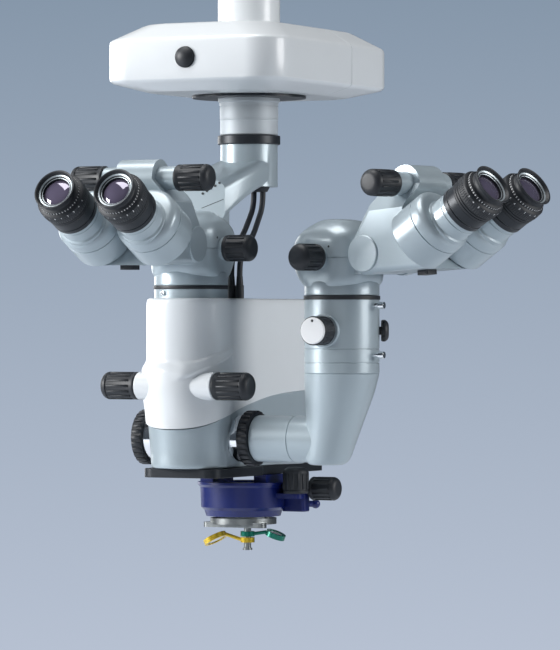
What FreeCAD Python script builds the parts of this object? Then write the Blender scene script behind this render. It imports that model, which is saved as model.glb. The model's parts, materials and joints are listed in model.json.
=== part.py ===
import FreeCAD, Part
import math
import os

V = FreeCAD.Vector

# Heights, in millimetres below the top face of the ceiling column
COLUMN_R = 31.0
COLUMN_BORE = 22.0
HOUSING_TOP = -49.0
HOUSING_SIDE_TOP = -65.0
HOUSING_SIDE_BOTTOM = -107.0
HOUSING_BOTTOM = -116.0
STUB_TOP = -118.6
STUB_BOTTOM = -155.5
CLAMP_BOTTOM = -165.0
ARM_BOTTOM = -207.0
HEAD_TOP = -319.0
HEAD_BOTTOM = -484.0

# Ceiling mount
MOUNT_PCD = 50.0
MOUNT_HOLE_R = 2.75
MOUNT_HOLES = 4
MOUNT_HOLE_DEPTH = 14.0
FOOT_R = 44.0
FOOT_T = 8.0
FOOT_FLOOR = 1.5

# Coupling housing
HOUSING_X = 196.0
HOUSING_Y = 270.0
HOUSING_CORNER = 34.0
HOUSING_WALL = 4.0
TOP_INSET = 27.0
BOTTOM_INSET = 29.0
CAP_SEAM_Y = 34.0
XY_TRAVEL = 20.0
SPIGOT_R = 16.0
OPENING_GAP = 8.0
OPENING_REAR = 1.0
OPENING_CORNER = 14.0
BUTTON_R = 10.0
BUTTON_Z = -85.0
BUTTON_LIP = 2.5
BUTTON_LIP_T = 2.0
BUTTON_PROUD = 2.0
BUTTON_DOME = 4.0
RUN_GAP = 0.05
PLAY = 0.3

# Cross slides inside the housing
RAIL_R = 4.5
SLEEVE_R = 7.5
X_RAIL_Z = -72.0
X_RAIL_Y = 42.0
Y_RAIL_Z = -89.5
Y_RAIL_X = 32.0
Y_RAIL_HALF = 92.0
END_T = 8.0
END_HALF = 9.0
# the X rails end where the slope of the housing's lid leaves room for their end blocks
X_RAIL_HALF = HOUSING_X / 2 - TOP_INSET / 2 - HOUSING_WALL - END_T
RAIL_GRIP = 4.0
BEAM_HALF = 20.0
BEAM_T = 2.4
CARRIAGE_HALF = 36.0
FRAME_T = 2.0
WINDOW_HALF = 30.0
Y_SLEEVE_HALF = 30.0
DUST_HALF_X = 66.0
DUST_HALF_Y = 78.0
DUST_T = 3.0
DUST_CORNER = 12.0
DISC_R = 57.0
DISC_T = 2.0

# Swivel stub and carrier arm
STUB_R = 28.8
STUB_RIM_R = 31.0
STUB_RIM_T = 3.5
STUB_BAND = 0.6
STUB_BAND_Z = (-9.0, -20.0)
EDGE = 0.8
SPIGOT_L = 15.0
NUT_SPACE = 26.0
NUT_T = 7.5
ARM_SPIGOT_R = 20.0
ARM_NUT_R = 24.0
CLAMP_R = 31.3
ARM_R = 28.6
POST_X = (-24.0, 8.0)
POST_Y = (-74.5, -53.0)
POST_TOP = -226.0
POST_BOTTOM = -357.0
POST_CORNER = 6.0
POCKET_END = 3.0
# the arm's shoulder as (y, x range, z range, corner)
SHOULDER = [(-2.0, (-27, 27), (-205, -176), 9), (-38.0, (-32, 25), (-217, -187), 10),
            (POST_Y[0], (-43, 12), (-243, -203), 10)]
FOCUS_TRAVEL = 25.0
GROMMET_AT = (9.0, 3.0)
GROMMET_R = 9.0
GROMMET_RIM = 2.5
GROMMET_H = 5.0
GROMMET_WALL = 2.0
GROMMET_DEPTH = 8.0

# Microscope head
FRONT_Y = -122.0
BACK_Y = 61.0
WAIST_Y = -72.0
BACK_CORNER = 20.0
# plans of the head as (z, nose half width, waist half width, back half width, back inset)
COVER_PLANS = [(-460, 43, 41, 46, 0), (-435, 43, 41, 47, 0), (-398, 43.5, 40, 47.5, 0),
               (-358, 43.5, 37, 46.5, 0), (-326, 43.5, 38, 46.5, 0)]
LID_PLANS = [COVER_PLANS[-1], (HEAD_TOP, 40, 34.5, 43, 3.5)]
BASE_PLANS = [(-400, 45, 40, 44.5, 2), (-446, 41.5, 38, 44, 2), (-468, 39.5, 36, 42.5, 3),
              (HEAD_BOTTOM, 36.5, 33, 40, 5)]
# the seam between cover and base, seen from the side, as (y, z)
SEAM = [(-230, -448), (-166, -446), (-124, -432), (-60, -419), (-11, -412.5), (40, -410), (130, -409)]
FAR_BELOW = -600.0
SEAM_HALF = 120.0
SEAT_R = 36.0
SEAT_H = 12.3
SEAT_BORE_R = 20.0
SEAT_POCKET = (8.0, 3.7, 6.0)
SEAT_POCKET_CORNER = 3.6
SEAT_SCREW_AT = (-12.5, 3.0, 4.7)
SEAT_SCREW_AIM = (-0.35, -1, 0)
SEAT_SCREW_R = 2.4
HORN_R = 13.6
HORN_Y = -150.0
HORN_Z = -404.0
HORN_X = 42.0
HORN_KNOB_L = 38.5
SHAFT_R = 4.0
PORT_Y = -103.0
PORT_Z = -455.0
PORT_BORE_R = 14.0
COLLAR_R = 19.0
COLLAR_START = 28.0
COLLAR_END = 66.0
COLLAR_FLANGE = 4.0
COLLAR_FLANGE_X = 44.0
PORT_RING_R = 27.0
PORT_RING_X = (52.5, 63.5)
LENS_R = 27.0
LENS_T = 9.0
LENS_RIM = 4.0
LENS_SEAT = 5.0
LENS_SPACE = 3.0
LENS_PATH_TOP = -450.0

# Observer column
OBSERVER_X = 154.0
OBSERVER_R = 36.0
OBSERVER_TOP = -316.6
OBSERVER_SEAM = -391.5
OBSERVER_TUBE_R = 22.5
ELBOW_BOTTOM = -482.0
ELBOW_FOOT_X = 137.0
ELBOW_FOOT_R = 20.6
# the elbow's round sections as (z, x, radius)
ELBOW = [(ELBOW_BOTTOM, ELBOW_FOOT_X, ELBOW_FOOT_R), (-440, 146, 27.5), (-410, 151.5, 33.5),
         (OBSERVER_SEAM, OBSERVER_X, OBSERVER_R)]
ELBOW_LAP = 4.0
OBSERVER_RING = 0.8
OBSERVER_RING_T = 4.0
NECK_H = 6.0
SCREW_Z = (-326.3, -373.7)
SCREW_R = 2.2
SCREW_HEAD_R = 3.3
SCREW_SEAT = 4.0
SCREW_Y = -107.0
SCREW_L = 12.0
SCREW_HEAD_L = 6.0
SCREW_HOLE = 10.0
SPLITTER_X = 152.0
SPLITTER_Z = -350.5
SPLITTER_R = 14.0
SPLITTER_L = 21.0
SPLITTER_BOSS = 2.0
SPLITTER_BORE = 15.0
SPLITTER_STEM = 12.0
CAP_T = 1.6
CAP_R = (12.8, 11.6)
SIDE_KNOB_R = 10.5
SIDE_KNOB_TURN = 28.0
SIDE_KNOB_L = 7.0
SIDE_KNOB_GAP = 1.8
SIDE_KNOB_STEM = 8.0

# Binocular tube, in its own frame: forward is -Y, up is +Z, origin in its base ring
TUBE_R = 36.0
DOME_TOP = 73.0
DOME_BACK = 46.0
DOME_FRONT = -38.0
DOME_SIDE = TUBE_R - 1
FOOT_H = 14.0
NECK_BORE_H = 7.0
DOME_PLAN_CORNER = 26.0
DOME_ARCH_CORNER = 24.0
# the dome seen from the side, from its back foot over the crown to its front, as (y, z)
DOME_CREST = [(DOME_BACK - 12, 12), (DOME_BACK - 2, 24), (DOME_BACK, 42), (DOME_BACK - 10, 62),
              (16, DOME_TOP), (-8, DOME_TOP - 1), (-34, 62)]
DOME_FOOT = [(-34, 62), (-36, 14), (-30, 8), (DOME_BACK - 14, 8), (DOME_BACK - 12, 12)]
PIVOT = (-55.0, 39.0)
PIVOT_R = 20.0
PIVOT_PIN_R = 8.0
PIVOT_CAP = 1.6
TONGUE_HALF = 22.0
CHEEK_HALF = 36.0
CHEEK_EDGE = 3.0
BRIDGE = (-98.0, 101.0)
BRIDGE_R = 18.0
BRIDGE_HALF = 20.0
CHEEK_TOP = 82.0
VIEW_TILT = 28.0
# where the side outline leaves the pivot's and the bridge's rounds, in degrees from forward
PIVOT_ARC = (250.0, 324.0, 38.0)
BRIDGE_ARC = (38.0, 125.0, 212.0)
PRISM_AT = (-115.0, 44.0)
PRISM_X = 31.6
PRISM_R = 31.2
PRISM_L = 42.0
PRISM_TIP = (4.0, 6.0)
PRISM_GROOVE = (27.0, 1.2, 0.9)
PUPIL_OFFSET = 6.0
PIN_R = 6.0
PIN_L = 14.0
HOLDER_R = 22.0
HOLDER_L = 18.0
HOLDER_BORE_R = 15.0
BARREL_R = 23.0
BARREL_L = 15.0
BARREL_NECK_R = 18.0
BARREL_NECK_L = 16.0
BARREL_BORE_R = 14.5
DIOPTER_R = 24.0
DIOPTER_L = 30.0
DIOPTER_RING = 0.55
DIOPTER_SHOULDER = (23.4, 18.2, 5.0)
CUP_R = (18.2, 20.4)
CUP_BOWL_R = (14.6, 18.8)
GRIP_NOTCHES = 20
GRIP_DEPTH = 0.9
GRIP_SPAN = (0.2, 0.3)
EYE_LENS_R = 14.0
EYE_LENS_T = 5.0
CUP_DEPTH = 5.0
NECK_R = 16.0
PD_KNOB_X = (39.0, 75.0)
PD_KNOB_R = 12.8
INVERTER_Z = 36.0
INVERTER_X = (39.0, 69.0)
INVERTER_R = 13.0
INVERTER_BOSS = 2.0
INVERTER_INNER = (22.0, 23.0, 30.0)
ASSISTANT_TURN = 77.0
ASSISTANT_LIFT = 5.0

# Fundus viewer below the head
PLATE_Z = (-493.0, -484.3)
PLATE_X = 42.0
PLATE_Y = (-150.0, -40.0)
PLATE_CORNER = 14.0
RAIL_STOP = 6.0
RAIL_LAP = 4.0
RAIL_X = 30.0
RAIL_END_Y = 95.0
RAIL_W = 9.0
VIEWER_Y = -12.0
DRUM_R = 43.0
DRUM_Z = (-535.0, -501.0)
DRUM_LIP = 2.5
DRUM_TOP_T = 3.0
# the drum's wall as (inset from its radius, height below its top), outside then inside
DRUM_OUTSIDE = [(4, 0), (-DRUM_LIP, 0), (-DRUM_LIP, 2.5), (0, 5), (0.8, 25), (4, 28), (6, 34)]
DRUM_INSIDE = [(9, 34), (7, 26), (4, 4)]
SHOE = (7.0, 22.0)
# the handle rod as (start, end, radius) from the drum's centre at its bottom, and its ball
HANDLE = ((20, 34, 12), (48, 62, 10), 3.2)
HANDLE_BALL = ((49, 63, 10), 4.6)
LUG_HALF = 8.0
LUG_CORNER = 6.0
LIFT_KNOB = (59.5, -14.0)
LIFT_KNOB_R = 13.0
LIFT_LUG_Z = (-517.0, -512.0)
LIFT_KNOB_L = 26.0
SIDE_KNOB_AT = (66.0, 10.0, -507.5)
VIEWER_KNOB_R = 11.8
VIEWER_KNOB_L = 29.0
CARRIER_Z = (-546.0, -537.0)
CARRIER_RING = (33.0, 27.0, 3.0)
CARRIER_ARM = (34.0, -24.0, -12.0, 5.0)
CARRIER_GUIDE = (26.0, 2.5, 4.0, 16.0)
POST_LUG_R = 6.0
POST_FOOT = (1.2, 2.0)
POST_AT = (14.0, -30.0)
POST_R = 3.5
POST_END = -566.0

# Swing-in lenses on the post
YELLOW_AT = (-18.0, -38.0, -557.0)
GREEN_AT = (40.0, -20.0, -553.0)
YELLOW_R = 12.0
GREEN_R = 10.0
YELLOW_TILT = -28.0
GREEN_TILT = 22.0
HUB_R = 7.0
HUB_T = 5.0
HOLDER_RIM = 3.0
HOLDER_ARM_R = 1.8
GLASS_T = 3.4
YELLOW_HUB_Z = -558.0
GREEN_HUB_Z = -552.0

# Cable routes from the arm to the sockets on the head
CABLE_D = 5.6
CABLE_BEND = 0.45
CABLE_A = [(4, 3, -212), (4, 3, -226), (5.5, -12, -242), (8.5, -28, -254), (11.5, -44, -263),
           (15, -60, -271), (16.5, -69, -283), (16.5, -69, -297)]
CABLE_B = [(14, 3, -212), (14, 3, -226), (15, -10, -242), (18, -25, -255), (21.5, -41, -263),
           (24.5, -58, -270), (25.5, -69, -282), (25.5, -69, -297)]
PLUG_R = 3.6
PLUG_BOOT = 9.0
PLUG_STEP = 0.6


def cyl(r, a, b):
    a, b = V(*a), V(*b)
    return Part.makeCylinder(r, (b - a).Length, a, b - a)


def along_x(r, x, at):
    """A cylinder along X over the range x, at (y, z)."""
    return cyl(r, (x[0], *at), (x[1], *at))


def along_y(r, y, at):
    """A cylinder along Y over the range y, at (x, z)."""
    return cyl(r, (at[0], y[0], at[1]), (at[0], y[1], at[1]))


def upright(r, z, at):
    """A cylinder along Z over the range z, at (x, y)."""
    return cyl(r, (*at, z[0]), (*at, z[1]))


def cone(r1, r2, a, b):
    a, b = V(*a), V(*b)
    return Part.makeCone(r1, r2, (b - a).Length, a, b - a)


def pipe(r_out, r_in, a, b):
    return cyl(r_out, a, b).cut(cyl(r_in, a, b))


def block(x, y, z):
    return Part.makeBox(x[1] - x[0], y[1] - y[0], z[1] - z[0], V(x[0], y[0], z[0]))


def fuse(*shapes):
    whole = shapes[0].multiFuse(list(shapes[1:])).removeSplitter()
    return whole


def revolve(points, centre=(0, 0)):
    """Turn a closed (radius, z) outline about a vertical axis."""
    at = [V(centre[0] + r, centre[1], z) for r, z in points]
    face = Part.Face(Part.makePolygon(at + [at[0]]))
    return face.revolve(V(centre[0], centre[1], 0), V(0, 0, 1), 360)


def rounded(x, y, z, r):
    """A rounded rectangle in plan at height z."""
    (x0, x1), (y0, y1) = x, y
    c = r * (1 - math.sqrt(0.5))
    corners = [((x1, y0 + r), (x1 - c, y0 + c), (x1 - r, y0)),
               ((x0 + r, y0), (x0 + c, y0 + c), (x0, y0 + r)),
               ((x0, y1 - r), (x0 + c, y1 - c), (x0 + r, y1)),
               ((x1 - r, y1), (x1 - c, y1 - c), (x1, y1 - r))]
    edges = []
    for i, (start, mid, end) in enumerate(corners):
        edges.append(Part.Arc(V(*start, z), V(*mid, z), V(*end, z)).toShape())
        follow = corners[(i + 1) % 4][0]
        edges.append(Part.LineSegment(V(*end, z), V(*follow, z)).toShape())
    return Part.Wire(edges)


def rounded_block(x, y, z, r):
    face = Part.Face(rounded(x, y, z[0], r))
    return face.extrude(V(0, 0, z[1] - z[0]))


def fluted_knob(r, length, base, direction, flutes=12):
    """A domed knob whose grip has sunk flutes; it grows along direction from base."""
    dome = r * 0.35
    straight = length - dome
    outline = [V(0, 0, 0), V(r * 0.94, 0, 0), V(r, 0, 1.5), V(r, 0, straight)]
    edges = [Part.LineSegment(outline[i], outline[i + 1]).toShape() for i in range(3)]
    shoulder = V(r * 0.84, 0, straight + dome * 0.66)
    crown = V(r * 0.4, 0, length)
    top = V(0, 0, length)
    edges.append(Part.Arc(outline[3], shoulder, crown).toShape())
    edges.append(Part.LineSegment(crown, top).toShape())
    edges.append(Part.LineSegment(top, outline[0]).toShape())
    knob = Part.Face(Part.Wire(edges)).revolve(V(0, 0, 0), V(0, 0, 1), 360)
    deep = r * 0.09
    wide = r * 0.22
    cuts = []
    for i in range(flutes):
        groove = Part.makeBox(2 * deep, wide, straight * 0.66, V(r - deep, -wide / 2, straight * 0.26))
        groove.rotate(V(0, 0, 0), V(0, 0, 1), 360.0 * i / flutes)
        cuts.append(groove)
    knob = knob.cut(Part.makeCompound(cuts))
    return aim(knob, base, direction)


def aim(shape, base, direction):
    """Move a shape made along +Z so that it grows from base along direction."""
    turn = FreeCAD.Rotation(V(0, 0, 1), V(*direction))
    shape.Placement = FreeCAD.Placement(V(*base), turn)
    return shape


def knurled_ring(r, r_in, half, axis_at, notches=24):
    """A ring along X about axis_at whose rim carries shallow notches."""
    x0, x1 = half
    _, y, z = axis_at
    ring = pipe(r, r_in, (x0, y, z), (x1, y, z))
    deep = 1.3
    wide = 2 * math.pi * r / notches * 0.4
    cuts = []
    for i in range(notches):
        notch = block((x0 + 1.5, x1 - 1.5), (-wide / 2, wide / 2), (r - deep, r + deep))
        notch.rotate(V(0, 0, 0), V(1, 0, 0), 360.0 * i / notches)
        notch.translate(V(0, y, z))
        cuts.append(notch)
    return ring.cut(Part.makeCompound(cuts))


# Ceiling column with its bolted top face and a foot flange inside the housing
def column():
    foot_top = HOUSING_TOP - HOUSING_WALL
    shaft = upright(COLUMN_R, (0, foot_top), (0, 0))
    foot = upright(FOOT_R, (foot_top, foot_top - FOOT_T), (0, 0))
    body = fuse(shaft, foot).cut(upright(COLUMN_BORE, (1, foot_top - FOOT_T + FOOT_FLOOR), (0, 0)))
    for i in range(MOUNT_HOLES):
        angle = 2 * math.pi * (i + 0.5) / MOUNT_HOLES
        x, y = MOUNT_PCD / 2 * math.cos(angle), MOUNT_PCD / 2 * math.sin(angle)
        body = body.cut(upright(MOUNT_HOLE_R, (1, -MOUNT_HOLE_DEPTH), (x, y)))
    return body


def housing_form(gap):
    """The housing's outer form, or its inner one when gap is its wall."""
    hx, hy = HOUSING_X / 2 - gap, HOUSING_Y / 2 - gap
    slope = gap * 0.25
    levels = [(HOUSING_BOTTOM + gap, BOTTOM_INSET), (HOUSING_SIDE_BOTTOM + slope, 0),
              (HOUSING_SIDE_TOP - slope, 0), (HOUSING_TOP - gap, TOP_INSET)]
    parts = []
    for (z0, in0), (z1, in1) in zip(levels, levels[1:]):
        low = rounded((-hx + in0, hx - in0), (-hy + in0, hy - in0), z0, HOUSING_CORNER - gap)
        high = rounded((-hx + in1, hx - in1), (-hy + in1, hy - in1), z1, HOUSING_CORNER - gap)
        parts.append(Part.makeLoft([low, high], True, True))
    return fuse(*parts)


def housing_shell():
    shell = housing_form(0).cut(housing_form(HOUSING_WALL))
    shell = shell.cut(upright(COLUMN_R, (0, HOUSING_SIDE_TOP), (0, 0)))
    swept = SPIGOT_R + XY_TRAVEL
    half = swept + OPENING_GAP
    depth = (HOUSING_BOTTOM - 1, HOUSING_SIDE_BOTTOM)
    window = rounded_block((-half, half), (-half, swept + OPENING_REAR), depth, OPENING_CORNER)
    front = -HOUSING_Y / 2
    hole = along_y(BUTTON_R + PLAY, (front - 1, front + HOUSING_WALL + 1), (0, BUTTON_Z))
    return shell.cut(window).cut(hole)


def split_housing():
    shell = housing_shell()
    big = HOUSING_Y
    front = shell.common(block((-big, big), (-big, CAP_SEAM_Y), (-big, 0)))
    rear = shell.common(block((-big, big), (CAP_SEAM_Y, big), (-big, 0)))
    return front, rear


def centring_button():
    front = -HOUSING_Y / 2
    face = front - BUTTON_PROUD
    inner = front + HOUSING_WALL + PLAY
    skirt = along_y(BUTTON_R, (face, inner + BUTTON_LIP_T / 2), (0, BUTTON_Z))
    flange = along_y(BUTTON_R + BUTTON_LIP, (inner, inner + BUTTON_LIP_T), (0, BUTTON_Z))
    ball_r = (BUTTON_R ** 2 + BUTTON_DOME ** 2) / (2 * BUTTON_DOME)
    ball = Part.makeSphere(ball_r, V(0, face - BUTTON_DOME + ball_r, BUTTON_Z))
    dome = ball.common(along_y(BUTTON_R, (face - BUTTON_DOME - 1, face + 0.5), (0, BUTTON_Z)))
    return fuse(skirt, flange, dome)


def x_rails():
    top = HOUSING_TOP - HOUSING_WALL - FOOT_T
    end = X_RAIL_HALF + END_T
    pieces = [block((-end, end), (-BEAM_HALF, BEAM_HALF), (top - BEAM_T, top))]
    for s in (-1, 1):
        x = sorted((s * X_RAIL_HALF, s * end))
        pieces.append(block(x, (-X_RAIL_Y - END_HALF, X_RAIL_Y + END_HALF), (X_RAIL_Z - END_T, top)))
        half = X_RAIL_HALF + RAIL_GRIP
        pieces.append(along_x(RAIL_R, (-half, half), (s * X_RAIL_Y, X_RAIL_Z)))
    return fuse(*pieces)


def x_carriage():
    frame_top = X_RAIL_Z - SLEEVE_R + 1
    frame_z = (frame_top - 1 - FRAME_T, frame_top)
    end = Y_RAIL_HALF + END_T
    pieces = [block((-CARRIAGE_HALF, CARRIAGE_HALF), (-end, end), frame_z)]
    for s in (-1, 1):
        y = sorted((s * Y_RAIL_HALF, s * end))
        pieces.append(along_x(SLEEVE_R, (-CARRIAGE_HALF, CARRIAGE_HALF), (s * X_RAIL_Y, X_RAIL_Z)))
        wide = Y_RAIL_X + END_HALF
        pieces.append(block((-wide, wide), y, (Y_RAIL_Z - SLEEVE_R + 0.5, frame_top)))
    body = fuse(*pieces)
    reach = CARRIAGE_HALF + 1
    for s in (-1, 1):
        body = body.cut(along_x(RAIL_R + RUN_GAP, (-reach, reach), (s * X_RAIL_Y, X_RAIL_Z)))
    half = Y_RAIL_HALF + RAIL_GRIP
    rods = [along_y(RAIL_R, (-half, half), (s * Y_RAIL_X, Y_RAIL_Z)) for s in (-1, 1)]
    window = block((-BEAM_HALF, BEAM_HALF), (-WINDOW_HALF, WINDOW_HALF), (frame_z[0] - 1, frame_top + 1))
    return fuse(body.cut(window), *rods)


def y_carriage():
    plate_top = Y_RAIL_Z - SLEEVE_R + 0.5
    plate_z = (plate_top - DUST_T, plate_top)
    plate = rounded_block((-DUST_HALF_X, DUST_HALF_X), (-DUST_HALF_Y, DUST_HALF_Y), plate_z, DUST_CORNER)
    half = Y_SLEEVE_HALF
    sleeves = [along_y(SLEEVE_R, (-half, half), (s * Y_RAIL_X, Y_RAIL_Z)) for s in (-1, 1)]
    web = block((-Y_RAIL_X, Y_RAIL_X), (-half, half), (plate_top - 1, plate_top + DUST_T))
    spigot = upright(SPIGOT_R, (STUB_TOP + DISC_T, plate_z[0]), (0, 0))
    disc = upright(DISC_R, (STUB_TOP, STUB_TOP + DISC_T), (0, 0))
    body = fuse(plate, web, *sleeves)
    reach = DUST_HALF_Y
    for s in (-1, 1):
        body = body.cut(along_y(RAIL_R + RUN_GAP, (-reach, reach), (s * Y_RAIL_X, Y_RAIL_Z)))
    return Part.makeCompound([body, spigot, disc])


def swivel_stub():
    bore, nut = ARM_SPIGOT_R + RUN_GAP, ARM_NUT_R + PLAY
    band = STUB_R + STUB_BAND
    high, low = [STUB_TOP + z for z in STUB_BAND_Z]
    outline = [(0, STUB_TOP), (STUB_RIM_R, STUB_TOP), (STUB_RIM_R, STUB_TOP - STUB_RIM_T), (band, high),
               (band, low), (STUB_R, low - 1), (STUB_R, STUB_BOTTOM + EDGE),
               (STUB_R - EDGE, STUB_BOTTOM), (bore, STUB_BOTTOM), (bore, STUB_BOTTOM + SPIGOT_L),
               (nut, STUB_BOTTOM + SPIGOT_L), (nut, STUB_BOTTOM + NUT_SPACE), (0, STUB_BOTTOM + NUT_SPACE)]
    return revolve(outline)


def clamp_ring():
    z0, z1 = CLAMP_BOTTOM, STUB_BOTTOM - PLAY
    outline = [(ARM_SPIGOT_R, z0), (CLAMP_R - EDGE, z0), (CLAMP_R, z0 + EDGE), (CLAMP_R, z1 - EDGE),
               (CLAMP_R - EDGE, z1), (ARM_SPIGOT_R, z1)]
    return revolve(outline)


def side_section(y, x, z, r):
    """A rounded rectangle standing across the arm at distance y."""
    wire = rounded(x, z, 0, r)
    wire.rotate(V(0, 0, 0), V(1, 0, 0), 90)
    wire.translate(V(0, y, 0))
    return wire


def carrier_arm():
    drum = upright(ARM_R, (CLAMP_BOTTOM, ARM_BOTTOM), (0, 0))
    nut_z = STUB_BOTTOM + SPIGOT_L + 0.5
    spigot = upright(ARM_SPIGOT_R, (CLAMP_BOTTOM, nut_z + 0.5), (0, 0))
    nut = upright(ARM_NUT_R, (nut_z, nut_z + NUT_T), (0, 0))
    shoulder = Part.makeLoft([side_section(*section) for section in SHOULDER], True, False)
    ends = [rounded(POST_X, POST_Y, z, POST_CORNER) for z in (POST_BOTTOM, POST_TOP)]
    post = Part.makeLoft(ends, True, True)
    body = fuse(drum, spigot, nut, shoulder, post)
    x, y = GROMMET_AT
    return body.cut(upright(GROMMET_R - GROMMET_WALL, (ARM_BOTTOM - 1, ARM_BOTTOM + GROMMET_DEPTH + 2), (x, y)))


def cable_grommet():
    x, y = GROMMET_AT
    rim = cone(GROMMET_R, GROMMET_R + GROMMET_RIM, (x, y, ARM_BOTTOM - GROMMET_H), (x, y, ARM_BOTTOM))
    neck = upright(GROMMET_R - GROMMET_WALL, (ARM_BOTTOM, ARM_BOTTOM + GROMMET_DEPTH), (x, y))
    return fuse(rim, neck)


def cable(route):
    """Straight runs joined by tangent arcs as large as the runs allow."""
    pts = [V(*p) for p in route]
    edges = []
    at = pts[0]
    radii = []
    for i in range(1, len(pts) - 1):
        back = pts[i - 1] - pts[i]
        ahead = pts[i + 1] - pts[i]
        cut_back = CABLE_BEND * min(back.Length, ahead.Length)
        u = back.normalize()
        w = ahead.normalize()
        half = (math.pi - u.getAngle(w)) / 2
        radius = cut_back / math.tan(half)
        radii.append(round(radius, 1))
        start = pts[i] + u * cut_back
        end = pts[i] + w * cut_back
        middle = (u + w).normalize()
        centre = pts[i] + middle * (radius / math.cos(half))
        mid = centre - middle * radius
        edges.append(Part.LineSegment(at, start).toShape())
        edges.append(Part.Arc(start, mid, end).toShape())
        at = end
    edges.append(Part.LineSegment(at, pts[-1]).toShape())
    path = Part.Wire(edges)
    section = Part.Wire(Part.makeCircle(CABLE_D / 2, pts[0], pts[1] - pts[0]))
    tube = path.makePipeShell([section], True, True)
    expect = math.pi * (CABLE_D / 2) ** 2 * path.Length
    print("cable length", round(path.Length, 1), "radii", radii, "fill", round(tube.Volume / expect, 4))
    return tube


def cable_plugs():
    plugs = []
    for route in (CABLE_A, CABLE_B):
        x, y, z = route[-1]
        boot = cone(PLUG_R, CABLE_D / 2 + 0.2, (x, y, z - PLUG_BOOT), (x, y, z))
        shell = upright(PLUG_R + PLUG_STEP, (HEAD_TOP, z - PLUG_BOOT), (x, y))
        plugs.append(fuse(boot, shell))
    return Part.makeCompound(plugs)


def head_section(z, front, waist, half, inset):
    """Plan of the head at one height: a round nose, hollow flanks and a square back."""
    fy, back = FRONT_Y, BACK_Y - inset
    side, cut = half - BACK_CORNER, BACK_CORNER * (1 - math.sqrt(0.5))
    near = back - BACK_CORNER
    runs = [((front, fy), (0, fy - front), (-front, fy)), ((-front, fy), (-waist, WAIST_Y), (-half, near)),
            ((-half, near), (-half + cut, back - cut), (-side, back)), ((-side, back), (side, back)),
            ((side, back), (half - cut, back - cut), (half, near)),
            ((half, near), (waist, WAIST_Y), (front, fy))]
    edges = []
    for run in runs:
        points = [V(x, y, z) for x, y in run]
        shape = Part.Arc(*points) if len(points) == 3 else Part.LineSegment(*points)
        edges.append(shape.toShape())
    return Part.Wire(edges)


def below_seam():
    """Everything under the sweeping seam between the cover and the base."""
    curve = Part.BSplineCurve()
    curve.interpolate([V(-SEAM_HALF, y, z) for y, z in SEAM])
    (y0, z0), (y1, z1) = SEAM[0], SEAM[-1]
    corners = [(y1, z1), (y1, FAR_BELOW), (y0, FAR_BELOW), (y0, z0)]
    points = [V(-SEAM_HALF, y, z) for y, z in corners]
    lines = [Part.LineSegment(a, b).toShape() for a, b in zip(points, points[1:])]
    face = Part.Face(Part.Wire([curve.toShape()] + lines))
    return face.extrude(V(2 * SEAM_HALF, 0, 0))


def post_pocket():
    x = (POST_X[0] - PLAY, POST_X[1] + PLAY)
    y = (POST_Y[0] - PLAY, POST_Y[1] + PLAY)
    return rounded_block(x, y, (POST_BOTTOM - FOCUS_TRAVEL - POCKET_END, HEAD_TOP + 1), POST_CORNER + PLAY)


def body_cover():
    form = Part.makeLoft([head_section(*plan) for plan in COVER_PLANS], True, False)
    lid = Part.makeLoft([head_section(*plan) for plan in LID_PLANS], True, True)
    horns = along_x(HORN_R, (-HORN_X, HORN_X), (HORN_Y, HORN_Z))
    reach = HORN_X + 1
    shaft = along_x(SHAFT_R + RUN_GAP, (-reach, reach), (HORN_Y, HORN_Z))
    return fuse(form, lid, horns).cut(below_seam()).cut(shaft).cut(post_pocket())


def body_base():
    form = Part.makeLoft([head_section(*plan) for plan in BASE_PLANS], True, True)
    seat_top = HEAD_BOTTOM + LENS_T + LENS_SPACE
    bore = upright(LENS_R, (HEAD_BOTTOM - 1, seat_top), (0, PORT_Y))
    path = upright(LENS_R - LENS_SEAT, (seat_top - 1, LENS_PATH_TOP), (0, PORT_Y))
    body = form.common(below_seam()).cut(bore).cut(path)
    for s in (-1, 1):
        body = body.cut(along_x(COLLAR_R, (s * COLLAR_START, s * COLLAR_END), (PORT_Y, PORT_Z)))
    return body


def at_seat(shape):
    """Carry a shape made along +Z to the seat ring's clamp screw."""
    x, inward, up = SEAT_SCREW_AT
    return aim(shape, (x, FRONT_Y - SEAT_R + inward, HEAD_TOP + up), SEAT_SCREW_AIM)


def tube_seat():
    ring = pipe(SEAT_R, SEAT_BORE_R, (0, FRONT_Y, HEAD_TOP), (0, FRONT_Y, HEAD_TOP + SEAT_H))
    wide, high, deep = SEAT_POCKET
    pocket = rounded_block((-wide, wide), (-high, high), (0, deep), SEAT_POCKET_CORNER)
    return ring.cut(at_seat(pocket))


def clamp_screws():
    r = SEAT_SCREW_R
    screws = [at_seat(fuse(upright(r, (0, 2), (0, 0)), upright(r - 1, (0, 2.6), (0, 0))))]
    x = OBSERVER_X + OBSERVER_R - SCREW_SEAT
    for z in SCREW_Z:
        stem = along_x(SCREW_R, (x, x + SCREW_L), (SCREW_Y, z))
        start = x + SCREW_L - SCREW_HEAD_L / 2
        head = along_x(SCREW_HEAD_R, (start, start + SCREW_HEAD_L), (SCREW_Y, z))
        screws.append(fuse(stem, head))
    return Part.makeCompound(screws)


def objective_lens():
    rim = pipe(LENS_R, LENS_R - LENS_RIM, (0, PORT_Y, HEAD_BOTTOM), (0, PORT_Y, HEAD_BOTTOM + LENS_T))
    glass = upright(LENS_R - LENS_RIM, (HEAD_BOTTOM + 1, HEAD_BOTTOM + LENS_T), (0, PORT_Y))
    return fuse(rim, glass)


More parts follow.
